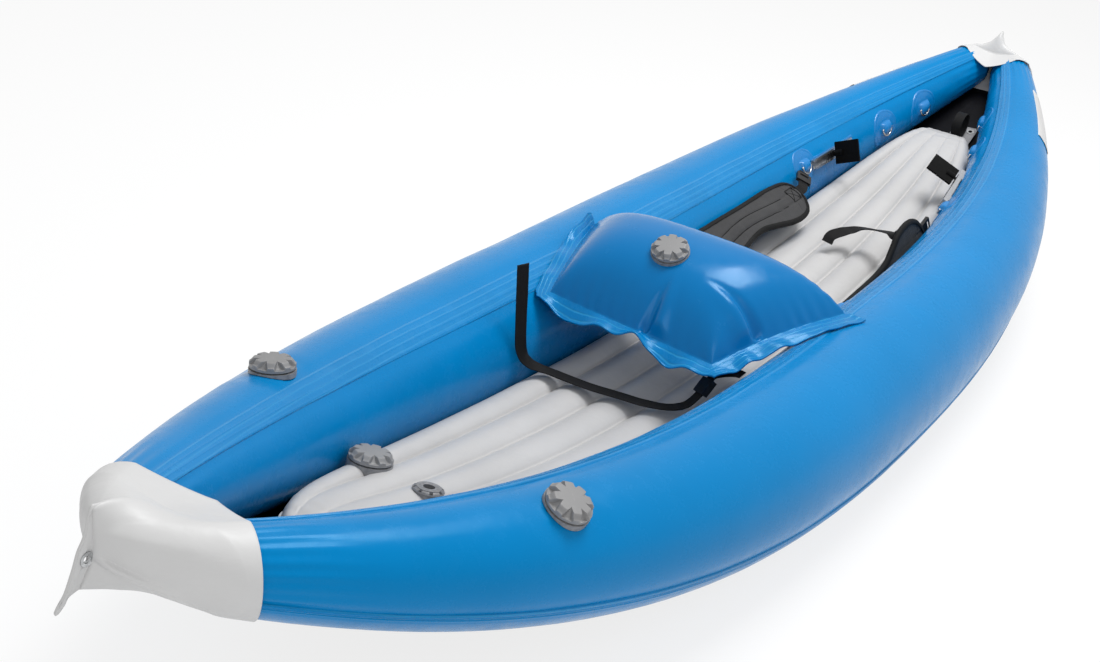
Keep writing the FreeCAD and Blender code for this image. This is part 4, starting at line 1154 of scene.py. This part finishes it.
def capHeight(r, angle):
    # the cap's top: a bevelled plateau with wedge-shaped finger notches round it
    radius, top = screwCap["radius"], screwCap["height"]
    step = 360 / screwCap["notches"]
    off = abs((angle + step / 2) % step - step / 2)
    shoulder = 1 - soft(radius - screwCap["bevelFrom"], radius - 0.0005, r) * screwCap["bevel"]
    plateau = top * shoulder + screwCap["crown"] * (1 - (r / radius) ** 2)
    if r <= screwCap["notchFrom"]:
        return plateau
    share = (r - screwCap["notchFrom"]) / (radius - screwCap["notchFrom"])
    inside = soft(0.0, 1.0, (screwCap["notchWidth"] * share - off) / 1.9)
    return mix(plateau, min(plateau, mix(top, screwCap["rim"], soft(0.0, 0.8, share))), inside)


def makeCap(name, place, body, node):
    around, foot, radius, inner = (screwCap[k] for k in ("around", "foot", "radius", "inner"))
    rows = []
    for r in [0.0004] + even(0.004, 0.015, 4) + even(0.0165, radius - 0.0012, 30) + [radius - 0.0005]:
        rows.append([(r, capHeight(r, 360 * k / around)) for k in range(around)])
    edge = [z for r, z in rows[-1]]
    rows.append([(radius, z - 0.0006) for z in edge])
    rows.append([(radius, z * 0.45 + 0.0003) for z in edge])
    ceiling = screwCap["innerTop"] - foot
    below = [(radius, 0.0007), (radius - 0.0007, 0.0), (inner + 0.003, 0.0), (inner, 0.0004)]
    for turn in range(screwCap["threads"]):
        climb = turn * screwCap["pitch"]
        below += [(inner, 0.001 + climb), (inner - 0.0007, 0.0018 + climb)]
    rows += [[spot] * around for spot in below + [(inner, ceiling), (0.002, ceiling)]]
    turns = [2 * math.pi * k / around for k in range(around)]
    points = [polarPoint(place, r, a, foot + z) for row in rows for a, (r, z) in zip(turns, row)]
    faces = closedFaces(len(rows), around)
    if place[1].cross(place[2]).dot(place[3]) >= 0:
        faces = flipped(faces)
    piece = makePiece(name, points, faces, capGrey, body=body, stands=(node,), finish="grey_plastic")
    piece.data.set_sharp_from_angle(angle=math.radians(32))


valveFrames = {
    "port": tubeFrame(valves["tubeX"], valves["portAngle"], 1),
    "starboard": tubeFrame(valves["tubeX"], valves["starboardAngle"], -1),
    "floor": floorValveFrame(),
    "backrest": backrestFrame(),
}
for valveName, valveFrame in valveFrames.items():
    makeCap(valveName + "ScrewCap", valveFrame, valveName + "_cap", valveName + "_valve_cap")


relief = {"around": 192, "bars": 8, "barHalf": 7.5, "well": 0.0022,
          "shape": [(0.0238, 0.0006), (0.0243, 0.0018), (0.0238, 0.0034), (0.0215, 0.0052), (0.0180, 0.0066),
                    (0.0140, 0.0073), (0.0112, 0.0072), (0.0098, 0.0062), (0.0094, 0.0040), (0.0094, -0.004)]}


def reliefRing():
    # domed guard of the relief valve: a ring with bars over a dark well
    place = reliefFrame()
    around, step = relief["around"], 360 / relief["bars"]
    rows = []
    for r, z in relief["shape"]:
        ring = []
        for k in range(around):
            off = abs((360 * k / around + step / 2) % step - step / 2)
            cut = soft(0, 1, (relief["barHalf"] - off) / 2.5) * soft(0.0130, 0.0150, r) * soft(0.0241, 0.0228, r)
            level = mix(z, relief["well"], cut) if z > relief["well"] else z
            ring.append(polarPoint(place, r, 2 * math.pi * k / around, level))
        rows.append(ring)
    piece = gridPiece("reliefRing", rows, valveGrey, closed=True, finish="grey_plastic")
    piece.data.set_sharp_from_angle(angle=math.radians(35))


reliefRing()
print("valve caps made")

# backrest: a blown-up pillow inside a wide welded edge
backrest.update({
    "frontWide": 0.608, "aftWide": 0.385, "deep": 0.304, "rowsAlong": 150, "rowsAcross": 260,
    "frontEdge": 0.010, "aftEdge": 0.024, "portEdge": 0.029, "starboardEdge": 0.034,
    "aftWaves": [(0.79, 0.10, -0.020), (0.43, 0.055, 0.018), (0.26, 0.09, -0.016)],
    "aftFold": (0.43, 0.27, 0.028), "sideFold": (0.62, 0.30, 0.026), "foldWidth": 0.0075,
    "gather": 0.0016, "gatherReach": 0.022, "portLean": 62.0,
})


def pillowShares(u, v):
    # shares of the way over the blown-up part, and how far outside it a place lies
    wide = mix(backrest["frontWide"], backrest["aftWide"], u)
    front, aft = backrest["frontEdge"] / backrest["deep"], backrest["aftEdge"] / backrest["deep"]
    low, high = backrest["starboardEdge"] / wide, backrest["portEdge"] / wide
    return (u - front) / (1 - front - aft), (v - low) / (1 - low - high)


def foldDepth(u, v, a, b):
    # two creases that open at the weld and die out up the slope, steep on one side and full on the other
    width = backrest["foldWidth"]
    at, reach, deep = backrest["aftFold"]
    share = min(1.0, max(0.0, (a - 1 + reach) / reach))
    off = (v - at - 0.03 * (1 - a)) * 0.42
    wide = width * (0.5 + 0.9 * share)
    z = -deep * share**2 * (bell(off, wide) - 0.7 * bell(off + 2.3 * wide, 1.6 * wide)) * soft(1.0, 0.97, a)
    at, reach, deep = backrest["sideFold"]
    share = min(1.0, max(0.0, (reach - b) / reach))
    off = (u - at - 0.10 * b) * 0.30
    wide = width * (0.5 + 0.9 * share)
    return z - deep * share**2 * (bell(off, wide) - 0.6 * bell(off - 2.3 * wide, 1.8 * wide)) * soft(0.0, 0.03, b)


def pillowPoint(u, v, up):
    base = mix(backrestEdge("Starboard", u), backrestEdge("Port", u), v)
    a, b = pillowShares(u, v)
    inside = min(a, 1 - a, b, 1 - b)
    z = backrest["rim"] / 2 * (1 if up else -1)
    if inside > 0:
        if up:
            one, two = fullness(a**0.8, 2.5), fullness(b, 3.0)
            both = (0.5 * (max(one, 1e-3) ** -2.6 + max(two, 1e-3) ** -2.6)) ** (-1 / 2.6)
            z += backrest["crown"] * both
            z += foldDepth(u, v, a, b)
        else:
            z -= backrest["belly"] * fullness(a**0.8, 2.6) * fullness(b, 2.0)
        nearAft, nearSide = min(a, 1 - a) * 0.27, min(b, 1 - b) * 0.5
        near = min(nearAft, nearSide)
        along = base.y if nearAft < nearSide else base.x
        pleat = math.sin(along * 2 * math.pi / 0.027 + 2.6 * ripple(base, 11.0, 3.0))
        pleat *= (0.55 + 0.9 * ripple(base, 17.0, 6.0)) * math.exp(-near / backrest["gatherReach"])
        z += (1 if up else -1) * backrest["gather"] * pleat * soft(0, 0.003, near)
    edge = Vector((0, 0, 0))
    if a > 1:
        out = min(1.0, (a - 1) / 0.082)
        for at, width, amount in backrest["aftWaves"]:
            edge.z += amount * out * bell(v - at, width)
        edge.z += out * (0.0022 * math.sin(v * 41 + 1) - 0.001)
    if b < 0:
        out = min(1.0, -b / 0.066)
        crinkle = math.sin(u * 34 + 2 * ripple(base, 14.0)) * soft(0.2, 0.7, u)
        edge.z += out * (0.0034 * crinkle + 0.004 * ripple(base, 30.0, 2.0)) - 0.002 * out
        edge.y -= 0.006 * out * bell(u, 0.07)
    if b > 1:
        out = min(1.0, (b - 1) / 0.056)
        lean = math.radians(backrest["portLean"]) * (1 - soft(0.08, 0.5, u))
        waves = 0.0022 * math.sin(u * 26) + 0.002 * ripple(base, 26.0, 7.0)
        edge.z += out * (backrest["portEdge"] * math.sin(lean) + waves)
        edge.y -= out * backrest["portEdge"] * (1 - math.cos(lean))
    if a < 0:
        edge.z += 0.0012 * min(1.0, -a / 0.03) * math.sin(v * 60)
    corner = soft(0.93, 1.0, max(v, 1 - v)) * soft(0.93, 1.0, max(u, 1 - u))
    middle = mix(backrestEdge("Starboard", 0.5), backrestEdge("Port", 0.5), 0.5)
    pull = (middle - base).normalized() * (0.007 * corner)
    return base + Vector((0, 0, z)) + edge + pull


def closerAtEnds(count):
    # shares from 0 to 1 that lie closer together near both ends
    shares = [0.5 - 0.5 * math.cos(math.pi * (0.06 + 0.88 * t)) for t in even(0, 1, count)]
    return [(share - shares[0]) / (shares[-1] - shares[0]) for share in shares]


def backrestPillow():
    us, vs = closerAtEnds(backrest["rowsAlong"]), closerAtEnds(backrest["rowsAcross"])
    points, uvs, faces, onEdge = [], [], [], []
    for up in (True, False):
        start = len(points)
        for u in us:
            for v in vs:
                p = pillowPoint(u, v, up)
                points.append(p)
                a, b = pillowShares(u, v)
                outside = {"u": max(-a, a - 1) * 0.272, "v": max(-b, b - 1) * 0.43}
                uvs.append((p.y, outside["u"]) if outside["u"] > outside["v"] else (p.x, outside["v"]))
        grid = gridFaces(len(us), len(vs), start=start)
        faces += flipped(grid) if up else grid
        for i in range(len(us) - 1):
            for k in range(len(vs) - 1):
                a, b = pillowShares((us[i] + us[i + 1]) / 2, (vs[k] + vs[k + 1]) / 2)
                onEdge.append(min(a, 1 - a, b, 1 - b) < 0)
    size = len(us) * len(vs)
    ring = gridBorder(len(us), len(vs))
    for i, a in enumerate(ring):
        b = ring[(i + 1) % len(ring)]
        faces.append((a, b, b + size, a + size))
        onEdge.append(True)
    piece = makePiece(
        "backrestPillow", points, faces, cushionPvc, body="backrest", uvs=uvs,
        stands=("backrest_cushion",), finish="blue_pvc",
    )
    piece.data.materials.append(weldedEdge)
    piece.data.polygons.foreach_set("material_index", [int(flag) for flag in onEdge])


backrestPillow()
print("backrest made")

# webbing: the strap across the floor behind the seat
webbing = {"width": 0.025, "thick": 0.0018}
crossStrap = {
    "route": [
        ((-0.430, 0.181, 0.353), (-0.35, -0.94, 0)), ((-0.430, 0.177, 0.305), (-0.35, -0.94, 0)),
        ((-0.431, 0.172, 0.250), (-0.3, -0.95, 0)), ((-0.430, 0.168, 0.205), (-0.3, -0.95, 0)),
        ((-0.423, 0.165, 0.182), (-0.2, -0.9, 0.3)), ((-0.407, 0.161, 0.162), (-0.1, -0.7, 0.7)),
        ((-0.391, 0.149, 0.150), (0, -0.3, 1)), ((-0.381, 0.126, 0.145), (0, 0, 1)),
        ((-0.379, 0.088, 0.144), (0, 0, 1)), ((-0.376, 0.044, 0.144), (0, 0, 1)),
        ((-0.367, -0.008, 0.144), (0, 0, 1)), ((-0.360, -0.050, 0.144), (0, 0, 1)),
        ((-0.345, -0.090, 0.145), (0, 0.1, 1)), ((-0.328, -0.114, 0.151), (-0.2, 0.3, 0.9)),
        ((-0.314, -0.127, 0.166), (-0.4, 0.5, 0.7)), ((-0.298, -0.134, 0.184), (-0.5, 0.6, 0.6)),
        ((-0.281, -0.140, 0.202), (-0.5, 0.6, 0.6)), ((-0.272, -0.158, 0.212), (-0.4, 0.3, 0.8)),
        ((-0.270, -0.176, 0.216), (-0.2, 0.2, 1)), ((-0.270, -0.188, 0.217), (0, 0.2, 1)),
    ],
}


def smoothRoute(route, count):
    # evenly spaced points along a route and the way the webbing faces at each
    line = smoothLine([Vector(p) for p, face in route], count)
    knots = [Vector(p) for p, face in route]
    looks = [Vector(face).normalized() for p, face in route]
    out = []
    for p in line:
        near = sorted(range(len(knots)), key=lambda i: (knots[i] - p).length)[:2]
        weights = [1 / max(1e-5, (knots[i] - p).length) ** 2 for i in near]
        out.append(sum((looks[i] * w for i, w in zip(near, weights)), Vector((0, 0, 0))).normalized())
    for _ in range(6):
        beside = zip(out[:1] + out[:-1], out, out[1:] + out[-1:])
        out = [(before + look * 2 + after).normalized() for before, look, after in beside]
    return line, out


def layStrap(name, route, count, body="hull", **rest):
    line, faces = smoothRoute(route, count)
    line = [p + face * (0.0004 * ripple(p, 28.0, 4.0)) for p, face in zip(line, faces)]
    section = strapSection(webbing["width"], webbing["thick"])
    return sweep(name, line, faces, section, webbingCloth, body=body, finish="webbing", **rest)


layStrap("crossWebbing", crossStrap["route"], 220, stands=("cross_strap",))

# thigh straps
thighStrap = {
    "rise": 0.06, "thick": 0.010, "rear": (0.112, 0.181, 0.203), "binding": 0.0095, "bindingThick": 0.0008,
    "channelHalf": 0.0125, "crossBox": 0.017, "boxBack": 0.050, "rows": 230, "columns": 56,
    "stitchEvery": 0.0036, "stitchLong": 0.0025, "stitchHalf": 0.00045,
    "darts": (-1.25, -0.62, 0.62, 1.25, 2.1, -2.1), "swell": 0.0049, "swellReach": 0.011,
    "crown": 0.0009, "crownReach": 0.045, "channelDepth": 0.0016,
    "dartReach": 0.052, "dartDepth": 0.0012,
    "port": {"tilt": 27.0, "top": (0.546, 0.178, 0.233), "front": (0.732, 0.158, 0.240),
             "outline": [(-0.370, -0.016), (-0.314, 0.004), (-0.254, 0.006), (-0.104, 0.002), (0, 0.001),
                         (0.045, -0.002), (0.090, -0.010), (0.113, -0.036), (0.110, -0.068), (0.084, -0.097),
                         (0.047, -0.107), (-0.003, -0.104), (-0.060, -0.090), (-0.114, -0.079), (-0.178, -0.083),
                         (-0.263, -0.098), (-0.330, -0.112), (-0.370, -0.096), (-0.384, -0.056)],
             "strap": [(-0.400, -0.062), (-0.300, -0.054), (-0.150, -0.040), (0.020, -0.052), (0.128, -0.048)]},
    "starboard": {"tilt": 100.0, "top": (0.546, 0.145, 0.240), "front": (0.741, 0.150, 0.203),
                  "outline": [(-0.374, -0.062), (-0.300, -0.061), (-0.200, -0.060), (-0.120, -0.058), (-0.062, -0.050),
                              (-0.026, -0.030), (0.002, -0.010), (0.036, 0.001), (0.076, 0.002), (0.112, -0.010),
                              (0.144, -0.034), (0.162, -0.060), (0.150, -0.078), (0.110, -0.087), (0.040, -0.090),
                              (-0.060, -0.092), (-0.200, -0.095), (-0.310, -0.093), (-0.374, -0.090),
                              (-0.384, -0.076)],
                  "strap": [(-0.400, -0.076), (-0.300, -0.077), (-0.150, -0.077), (0.020, -0.062), (0.176, -0.056)]},
    "tail": [((0.562, -0.1398, 0.222), (0, 0.985, -0.174)), ((0.573, -0.1366, 0.222), (0.1, 0.9, 0.1)),
             ((0.583, -0.118, 0.219), (0.2, 0.3, 0.9)), ((0.592, -0.086, 0.212), (0.2, 0, 1)),
             ((0.601, -0.051, 0.201), (0, -0.2, 1)), ((0.591, -0.027, 0.193), (-0.2, -0.2, 1)),
             ((0.574, -0.012, 0.188), (-0.5, -0.2, 0.8)), ((0.556, 0.0, 0.181), (-0.7, -0.2, 0.7)),
             ((0.544, 0.002, 0.168), (-0.8, -0.2, 0.5))],
}


def padFrame(side):
    # the pad's origin, the way along it, up its slope and out of its face
    tilt = math.radians(thighStrap[side]["tilt"])
    along = Vector((1, 0, thighStrap["rise"]))
    up = Vector((0, math.cos(tilt), math.sin(tilt)))
    face = along.cross(up).normalized()
    along = (along - face * along.dot(face)).normalized()
    up = face.cross(along)
    origin = Vector(thighStrap[side]["top"])
    if side == "starboard":
        return across(origin), across(along), across(up), across(face)
    return origin, along, up, face


def planeLine(points, count):
    return smoothLine([Vector((x, y, 0)) for x, y in points], count)


def padOutline(side):
    count = 400
    points = thighStrap[side]["outline"]
    ring = planeLine(points[-2:] + points + points[:3], 2 * count)

    def toStart(i):
        return (ring[i] - Vector((*points[0], 0))).length

    first = min(range(len(ring) // 2), key=toStart)
    last = min(range(len(ring) // 2, len(ring)), key=toStart)
    return smoothLine(ring[first:last:3] + [ring[first]], count + 1)[:-1]


def distanceTo(lines, x, y):
    # metres from each place to the nearest point of the lines
    spots = np.array([[p.x, p.y] for line in lines for p in line])
    return np.sqrt(((spots[None, :, 0] - x[:, None]) ** 2 + (spots[None, :, 1] - y[:, None]) ** 2).min(axis=1))


def padRelief(side, x, y, outline, strap):
    # height of the pad's face over its middle plane
    inside = distanceTo([outline], x, y)
    rim = (1 - np.clip(inside / thighStrap["swellReach"], 0, 1)) ** 2.4
    height = thighStrap["swell"] * np.sqrt(np.clip(1 - rim, 0, 1))
    height += thighStrap["crown"] * np.clip(inside / thighStrap["crownReach"], 0, 1)
    away = distanceTo([strap], x, y)
    half = thighStrap["channelHalf"]
    height += 0.0012 * np.exp(-((away / (half * 0.8)) ** 4))
    height -= thighStrap["channelDepth"] * np.exp(-(((away - half) / 0.0018) ** 2))
    nose = strap[-1]
    boxX, boxY = x - (nose.x - thighStrap["boxBack"]), y - nose.y
    half = thighStrap["crossBox"]
    inBox = np.clip((half - np.maximum(np.abs(boxX), np.abs(boxY))) / 0.0015, 0, 1)
    crossed = np.minimum(np.abs(boxX - boxY), np.abs(boxX + boxY)) / 1.414
    height -= inBox * (0.0007 + 0.0010 * np.exp(-((crossed / 0.0011) ** 2)))
    around = np.arctan2(boxY, boxX)
    reach = np.sqrt(boxX**2 + boxY**2)
    span = np.clip((reach - half - 0.002) / 0.004, 0, 1) * np.clip((thighStrap["dartReach"] - reach) / 0.008, 0, 1)
    for dart in thighStrap["darts"]:
        off = np.abs(np.arctan2(np.sin(around - dart), np.cos(around - dart))) * reach
        height -= thighStrap["dartDepth"] * span * np.exp(-((off / 0.0013) ** 2))
    return height


def padFold(x, y):
    return 0.0011 * ripple((x, y, 0), 13.0, 3.0) + 0.0005 * ripple((x, y, 0), 38.0, 5.0)


def thighPad(side):
    origin, along, up, face = padFrame(side)
    outline = padOutline(side)
    strap = planeLine(thighStrap[side]["strap"], 160)
    xs = [p.x for p in outline]
    low, high = min(xs) + 0.0008, max(xs) - 0.0008
    shares = [0.35 * (0.5 - 0.5 * math.cos(math.pi * t)) + 0.65 * t for t in even(0, 1, thighStrap["rows"])]
    px = np.array([p.x for p in outline])
    py = np.array([p.y for p in outline])
    nextX, nextY = np.roll(px, -1), np.roll(py, -1)
    flatX, flatY = [], []
    columns = thighStrap["columns"]
    for x in (mix(low, high, share) for share in shares):
        hit = (px - x) * (nextX - x) <= 0
        runs = np.where(nextX[hit] == px[hit], 1, nextX[hit] - px[hit])
        cuts = py[hit] + (x - px[hit]) / runs * (nextY[hit] - py[hit])
        for k in range(columns):
            t = 0.5 - 0.5 * math.cos(math.pi * k / (columns - 1))
            flatX.append(x)
            flatY.append(mix(cuts.min(), cuts.max(), t))
    flatX, flatY = np.array(flatX), np.array(flatY)
    relief = padRelief(side, flatX, flatY, outline, strap)
    points = []
    for way in (1, -1):
        for x, y, z in zip(flatX, flatY, relief):
            fold = padFold(x, y)
            if side == "starboard" and x < 0:
                fold += 0.0022 * bell(y + 0.078, 0.004) * soft(0.0, -0.1, x)
            lift = (z if way > 0 else -0.92 * min(z, 0.005)) + fold
            points.append(origin + along * x + up * y + face * lift)
    size = len(flatX)
    grid = gridFaces(len(shares), columns)
    faces = grid + [tuple(i + size for i in quad[::-1]) for quad in grid]
    rim = gridBorder(len(shares), columns)
    faces += [(b, a, a + size, b + size) for a, b in zip(rim, rim[1:] + rim[:1])]
    if side == "starboard":
        faces = flipped(faces)
    uvs = list(zip(flatX, flatY)) * 2
    piece = makePiece(
        side + "ThighPad", points, faces, padCloth, body=side + "_thigh_strap", uvs=uvs,
        stands=(side + "_thigh_pad",), finish="pad_fabric",
    )
    # the bound edge and the sewn lines
    line, outs = [], []
    for i, p in enumerate(outline):
        ahead = (outline[(i + 1) % len(outline)] - outline[i - 1]).normalized()
        out = Vector((ahead.y, -ahead.x, 0))
        outs.append(along * out.x + up * out.y)
        line.append(origin + along * p.x + up * p.y)
    if sum(p.x * q.y - q.x * p.y for p, q in zip(outline, outline[1:] + outline[:1])) < 0:
        outs = [-out for out in outs]
    wide = thighStrap["binding"]
    loop = [(0.0059, -wide), (0.0064, -wide * 0.9), (0.0062, -wide * 0.45)]
    loop += [(0.0047, -0.0012), (0.0022, 0.0006), (0, 0.0010)]
    loop += [(-s, n) for s, n in loop[-2::-1]]
    rows = []
    for p, out in zip(line, outs):
        q = out * 0.0004 * ripple(p, 60.0)
        rows.append([p + q + face * s + out * n for s, n in loop])
    grid = gridFaces(len(rows) + 1, len(loop))
    total = len(rows) * len(loop)
    grid = [tuple(i % total for i in quad) for quad in grid]
    edging = makePiece(
        side + "PadBinding", allPoints(rows), grid, bindingCloth, body=side + "_thigh_strap",
        uvs=[(0.0032 * i, n) for i, row in enumerate(rows) for s, n in loop], finish="webbing",
    )
    thicken(edging, thighStrap["bindingThick"])
    sewLines(side, strap, origin, along, up, face, outline)


def sewLines(side, strap, origin, along, up, face, outline):
    # short stitches along the channel and the crossed box
    rows = []
    half = thighStrap["channelHalf"]
    for way in (1, -1):
        row = []
        for i in range(6, len(strap) - 30):
            ahead = (strap[i + 1] - strap[i - 1]).normalized()
            row.append(strap[i] + Vector((-ahead.y, ahead.x, 0)) * (way * half))
        rows.append(row)
    nose = strap[-1] - Vector((thighStrap["boxBack"], 0, 0))
    r = thighStrap["crossBox"]
    square = [nose + Vector((a * r, b * r, 0)) for a, b in ((1, 1), (-1, 1), (-1, -1), (1, -1), (1, 1))]
    rows += [[square[0], square[2]], [square[1], square[3]], square]
    for number, row in enumerate(rows):
        boxed = number > 1
        spots = [mix(a, b, k / 24) for a, b in zip(row, row[1:]) for k in range(24)] if boxed else row
        level = padRelief(side, np.array([p.x for p in spots]), np.array([p.y for p in spots]), outline, strap)
        line = [
            origin + along * p.x + up * p.y + face * (z + padFold(p.x, p.y) + 0.0001) for p, z in zip(spots, level)
        ]
        sweep(
            side + "PadPiping" + str(number), line, [face] * len(line),
            strapSection(0.0018 if boxed else 0.0026, 0.0012), bindingCloth, body=side + "_thigh_strap",
            finish="webbing",
        )
    points, faces = [], []
    for row in rows:
        dense = []
        for a, b in zip(row, row[1:]):
            steps = max(1, int((b - a).length / 0.0004))
            dense += [mix(a, b, k / steps) for k in range(steps)]
        gone = 0.0
        start = None
        spots = []
        for a, b in zip(dense, dense[1:]):
            gone += (b - a).length
            if gone % thighStrap["stitchEvery"] < thighStrap["stitchLong"]:
                start = start or a
            elif start:
                spots.append((start, a))
                start = None
        for a, b in spots:
            x = np.array([a.x, b.x])
            y = np.array([a.y, b.y])
            z = padRelief(side, x, y, outline, strap)
            ahead = (b - a).normalized()
            sideways = Vector((-ahead.y, ahead.x, 0)) * thighStrap["stitchHalf"]
            base = len(points)
            for p, lift in ((a, z[0]), (b, z[1])):
                for off, high in ((-1, 0.0001), (-0.5, 0.0007), (0.5, 0.0007), (1, 0.0001)):
                    q = p + sideways * off
                    points.append(origin + along * q.x + up * q.y + face * (lift + high + padFold(p.x, p.y)))
            faces += gridFaces(2, 4, start=base)
    makePiece(
        side + "PadStitches", points, faces, bindingCloth, body=side + "_thigh_strap",
        uvs=[(p.x, p.y) for p in points], smooth=False, finish="webbing",
    )


def thighWebbing(side):
    origin, along, up, face = padFrame(side)
    flip = across if side == "starboard" else (lambda p: p)
    body = side + "_thigh_strap"

    def onPad(spot, high):
        return origin + along * spot[0] + up * spot[1] + face * high

    def between(a, b, t):
        return mix(a[0], b[0], t), mix(a[1], b[1], t)

    spots = thighStrap[side]["strap"]
    lift = thighStrap["thick"] / 2 + 0.0012
    nose, start = onPad(spots[4], lift), onPad(spots[0], lift)
    rear, front = flip(Vector(thighStrap["rear"])), flip(Vector(thighStrap[side]["front"]))
    route = [(onPad(between(spots[3], spots[4], t), high), face) for t, high in ((0.62, 0.001), (0.85, 0.004))]
    route += [(nose, face)] + [(mix(nose, front, t), face) for t in (0.3, 0.6, 1.0)]
    layStrap(side + "WebbingFront", route, 90, body=body, stands=(side + "_thigh_webbing",))
    back = [(onPad(between(spots[0], spots[1], 0.5), 0.002), face), (start, face)]
    back += [(mix(start, rear, t) + Vector((0, 0, -0.004 * math.sin(math.pi * t))), face) for t in (0.35, 0.7, 1.0)]
    layStrap(side + "WebbingRear", back, 120, body=body)
    if side == "starboard":
        layStrap("starboardTail", thighStrap["tail"], 110, body=body)


for sideName in ("port", "starboard"):
    thighPad(sideName)
    thighWebbing(sideName)
print("straps and thigh pads made")

# patches on the inboard walls
wallParts = {
    "rings": [(0.766, 152.0), (1.110, 166.0), (1.262, 172.0)], "radius": 0.045,
    "keeperLong": 0.026, "keeperHigh": 0.0105,
    "padFrom": 0.784, "padTo": 0.976, "padLow": 147.0, "padHigh": 197.0, "anchorX": 0.112, "anchorHalf": 0.035,
    "anchorLow": 140, "anchorHigh": 170, "sidePatch": (1.175, 1.385, 21.0, 56.0), "innerEdge": 132.2, "steps": 41,
}
patchBlue = coatedMaterial(
    "patchBlue", (0.0, 0.172, 0.46), smooth=0.28, shift=0.05, dust=0.04, creaseScale=30.0, creaseDepth=0.0008
)


def ringPatch(name, side, x, angle):
    # a round film with a pressed border, humped over the ring's bar
    radius = wallParts["radius"]
    reach = math.degrees(radius / radiusAt(x))
    rows = []
    for u in even(-1, 1, wallParts["steps"]):
        half = math.sqrt(max(0.0, 1 - u * u))
        row = []
        for w in even(-half, half, wallParts["steps"]):
            far = math.hypot(u, w)
            border = 0.0006 * bell(far - 0.9, 0.03) - 0.0006 * bell(far - 0.83, 0.025)
            lengthwise = 1 - (u * radius / (wallParts["keeperLong"] / 2 + 0.004)) ** 4
            crosswise = 1 - ((w + 0.02) * radius / 0.0135) ** 2
            hump = wallParts["keeperHigh"] * math.sqrt(max(0.0, lengthwise) * max(0.0, crosswise))
            lift = 0.0016 + border + hump + 0.0003 * ripple((u, w, x * 9), 4.0)
            turn = max(angle + w * reach, wallParts["innerEdge"])
            row.append(tubePoint(x + u * radius, turn, -0.001 if far > 0.985 else lift, side))
        rows.append(row)
    return gridPiece(name, rows, patchBlue, flip=side > 0, finish="blue_pvc")


def wallPatches(name, side):
    patches = [ringPatch(name + "RingPatch" + str(i), side, x, a) for i, (x, a) in enumerate(wallParts["rings"])]
    low, high = wallParts["padLow"], wallParts["padHigh"]

    def padEdge(x):
        share = (x - wallParts["padFrom"]) / (wallParts["padTo"] - wallParts["padFrom"])
        return high - 14 * (1 - math.sin(math.pi * min(1, max(0, share)) ** 0.9) ** 0.45)

    def padHeight(x, share):
        welds = bell(share - 0.08, 0.02) + bell(share - 0.92, 0.02)
        return 0.0015 + 0.0004 * welds + 0.0003 * ripple((x, share, side), 22.0)

    wallBand(
        name + "RailPad", side, wallParts["padFrom"], wallParts["padTo"], low, padEdge, padHeight, patchBlue,
        columns=31, rows=50, finish="blue_pvc",
    )

    def anchorHeight(x, share):
        off = abs(x - wallParts["anchorX"])
        loop = 0.0055 * math.sqrt(max(0.0, 1 - (off / 0.018) ** 2)) * soft(0.5, 0.42, abs(share - 0.5))
        return 0.0015 + 0.0004 * bell(off - 0.031, 0.001) + loop

    at, half = wallParts["anchorX"], wallParts["anchorHalf"]
    wallBand(
        name + "RearAnchor", side, at - half, at + half, wallParts["anchorLow"], wallParts["anchorHigh"],
        anchorHeight, patchBlue, columns=31, rows=36, finish="blue_pvc",
    )
    return patches[0]


for sideName in ("port", "starboard"):
    firstPatch = wallPatches(sideName, sideOf(sideName))
    if sideName == "port":
        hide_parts("wall_patches")
    x0, x1, low, high = wallParts["sidePatch"]

    def patchHeight(x, share):
        far = min(abs(x - x0), abs(x - x1), 0.03) / 0.03
        return 0.0012 + 0.0003 * ripple((x, share, 0), 20.0) - 0.0006 * bell(share - 0.06, 0.02) * far

    sidePatch = wallBand(
        sideName + "SidePatch", sideOf(sideName), x0, x1, low, high, patchHeight, whitePvc, columns=31,
        finish="white_pvc",
    )
    if sideName == "port":
        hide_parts("bow_side_patches")
print("wall patches made")

# fittings that keep the frame's own shape
metal = {"steel": (0.56, 0.57, 0.58), "aluminium": (0.66, 0.67, 0.69), "brushing": 240.0, "grain": 60.0}


def metalMaterial(name, colour, smooth, stretched):
    material, tree, shader = startMaterial(name, {"Metallic": 1.0, "Roughness": smooth})
    scale = (metal["brushing"] * 0.05, metal["brushing"], metal["brushing"]) if stretched else [metal["grain"]] * 3
    stretch = addNode(tree, "Mapping", None, Vector=objectPlace(tree), Scale=scale).outputs[0]
    lines = noiseOf(tree, stretch, 4.0, 6.0, Roughness=0.6)
    dull = tuple(0.62 * part for part in colour)
    tree.links.new(tinted(tree, spread(tree, lines, 0.35, 0.75), colour, dull), shader.inputs["Base Color"])
    tree.links.new(bump(tree, lines, 0.3, 0.0001), shader.inputs["Normal"])
    return material


steelMetal = metalMaterial("steelMetal", metal["steel"], 0.25, False)
railMetal = metalMaterial("railMetal", metal["aluminium"], 0.34, True)
sealRubber = plasticMaterial("sealRubber", (0.02, 0.02, 0.02), smooth=0.6, wearColour=(0.05, 0.05, 0.05))
pedalBlack = plasticMaterial(
    "pedalBlack", (0.001, 0.001, 0.001), smooth=0.6, wearColour=(0.006, 0.006, 0.006), wear=0.4,
    sockets={"Specular IOR Level": 0.08},
)
fittings = {"eyelets": steelMetal, "_ring": steelMetal, "spring": steelMetal, "rail": railMetal, "seal": sealRubber,
            "valve_body": valveGrey, "stem": valveGrey, "buckle": fittingBlack, "slider": fittingBlack,
            "pedal": pedalBlack}
for nodeName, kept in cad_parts.items():
    for ending, material in fittings.items():
        if nodeName.endswith(ending):
            kept.data.materials.clear()
            kept.data.materials.append(material)
print("fittings finished")
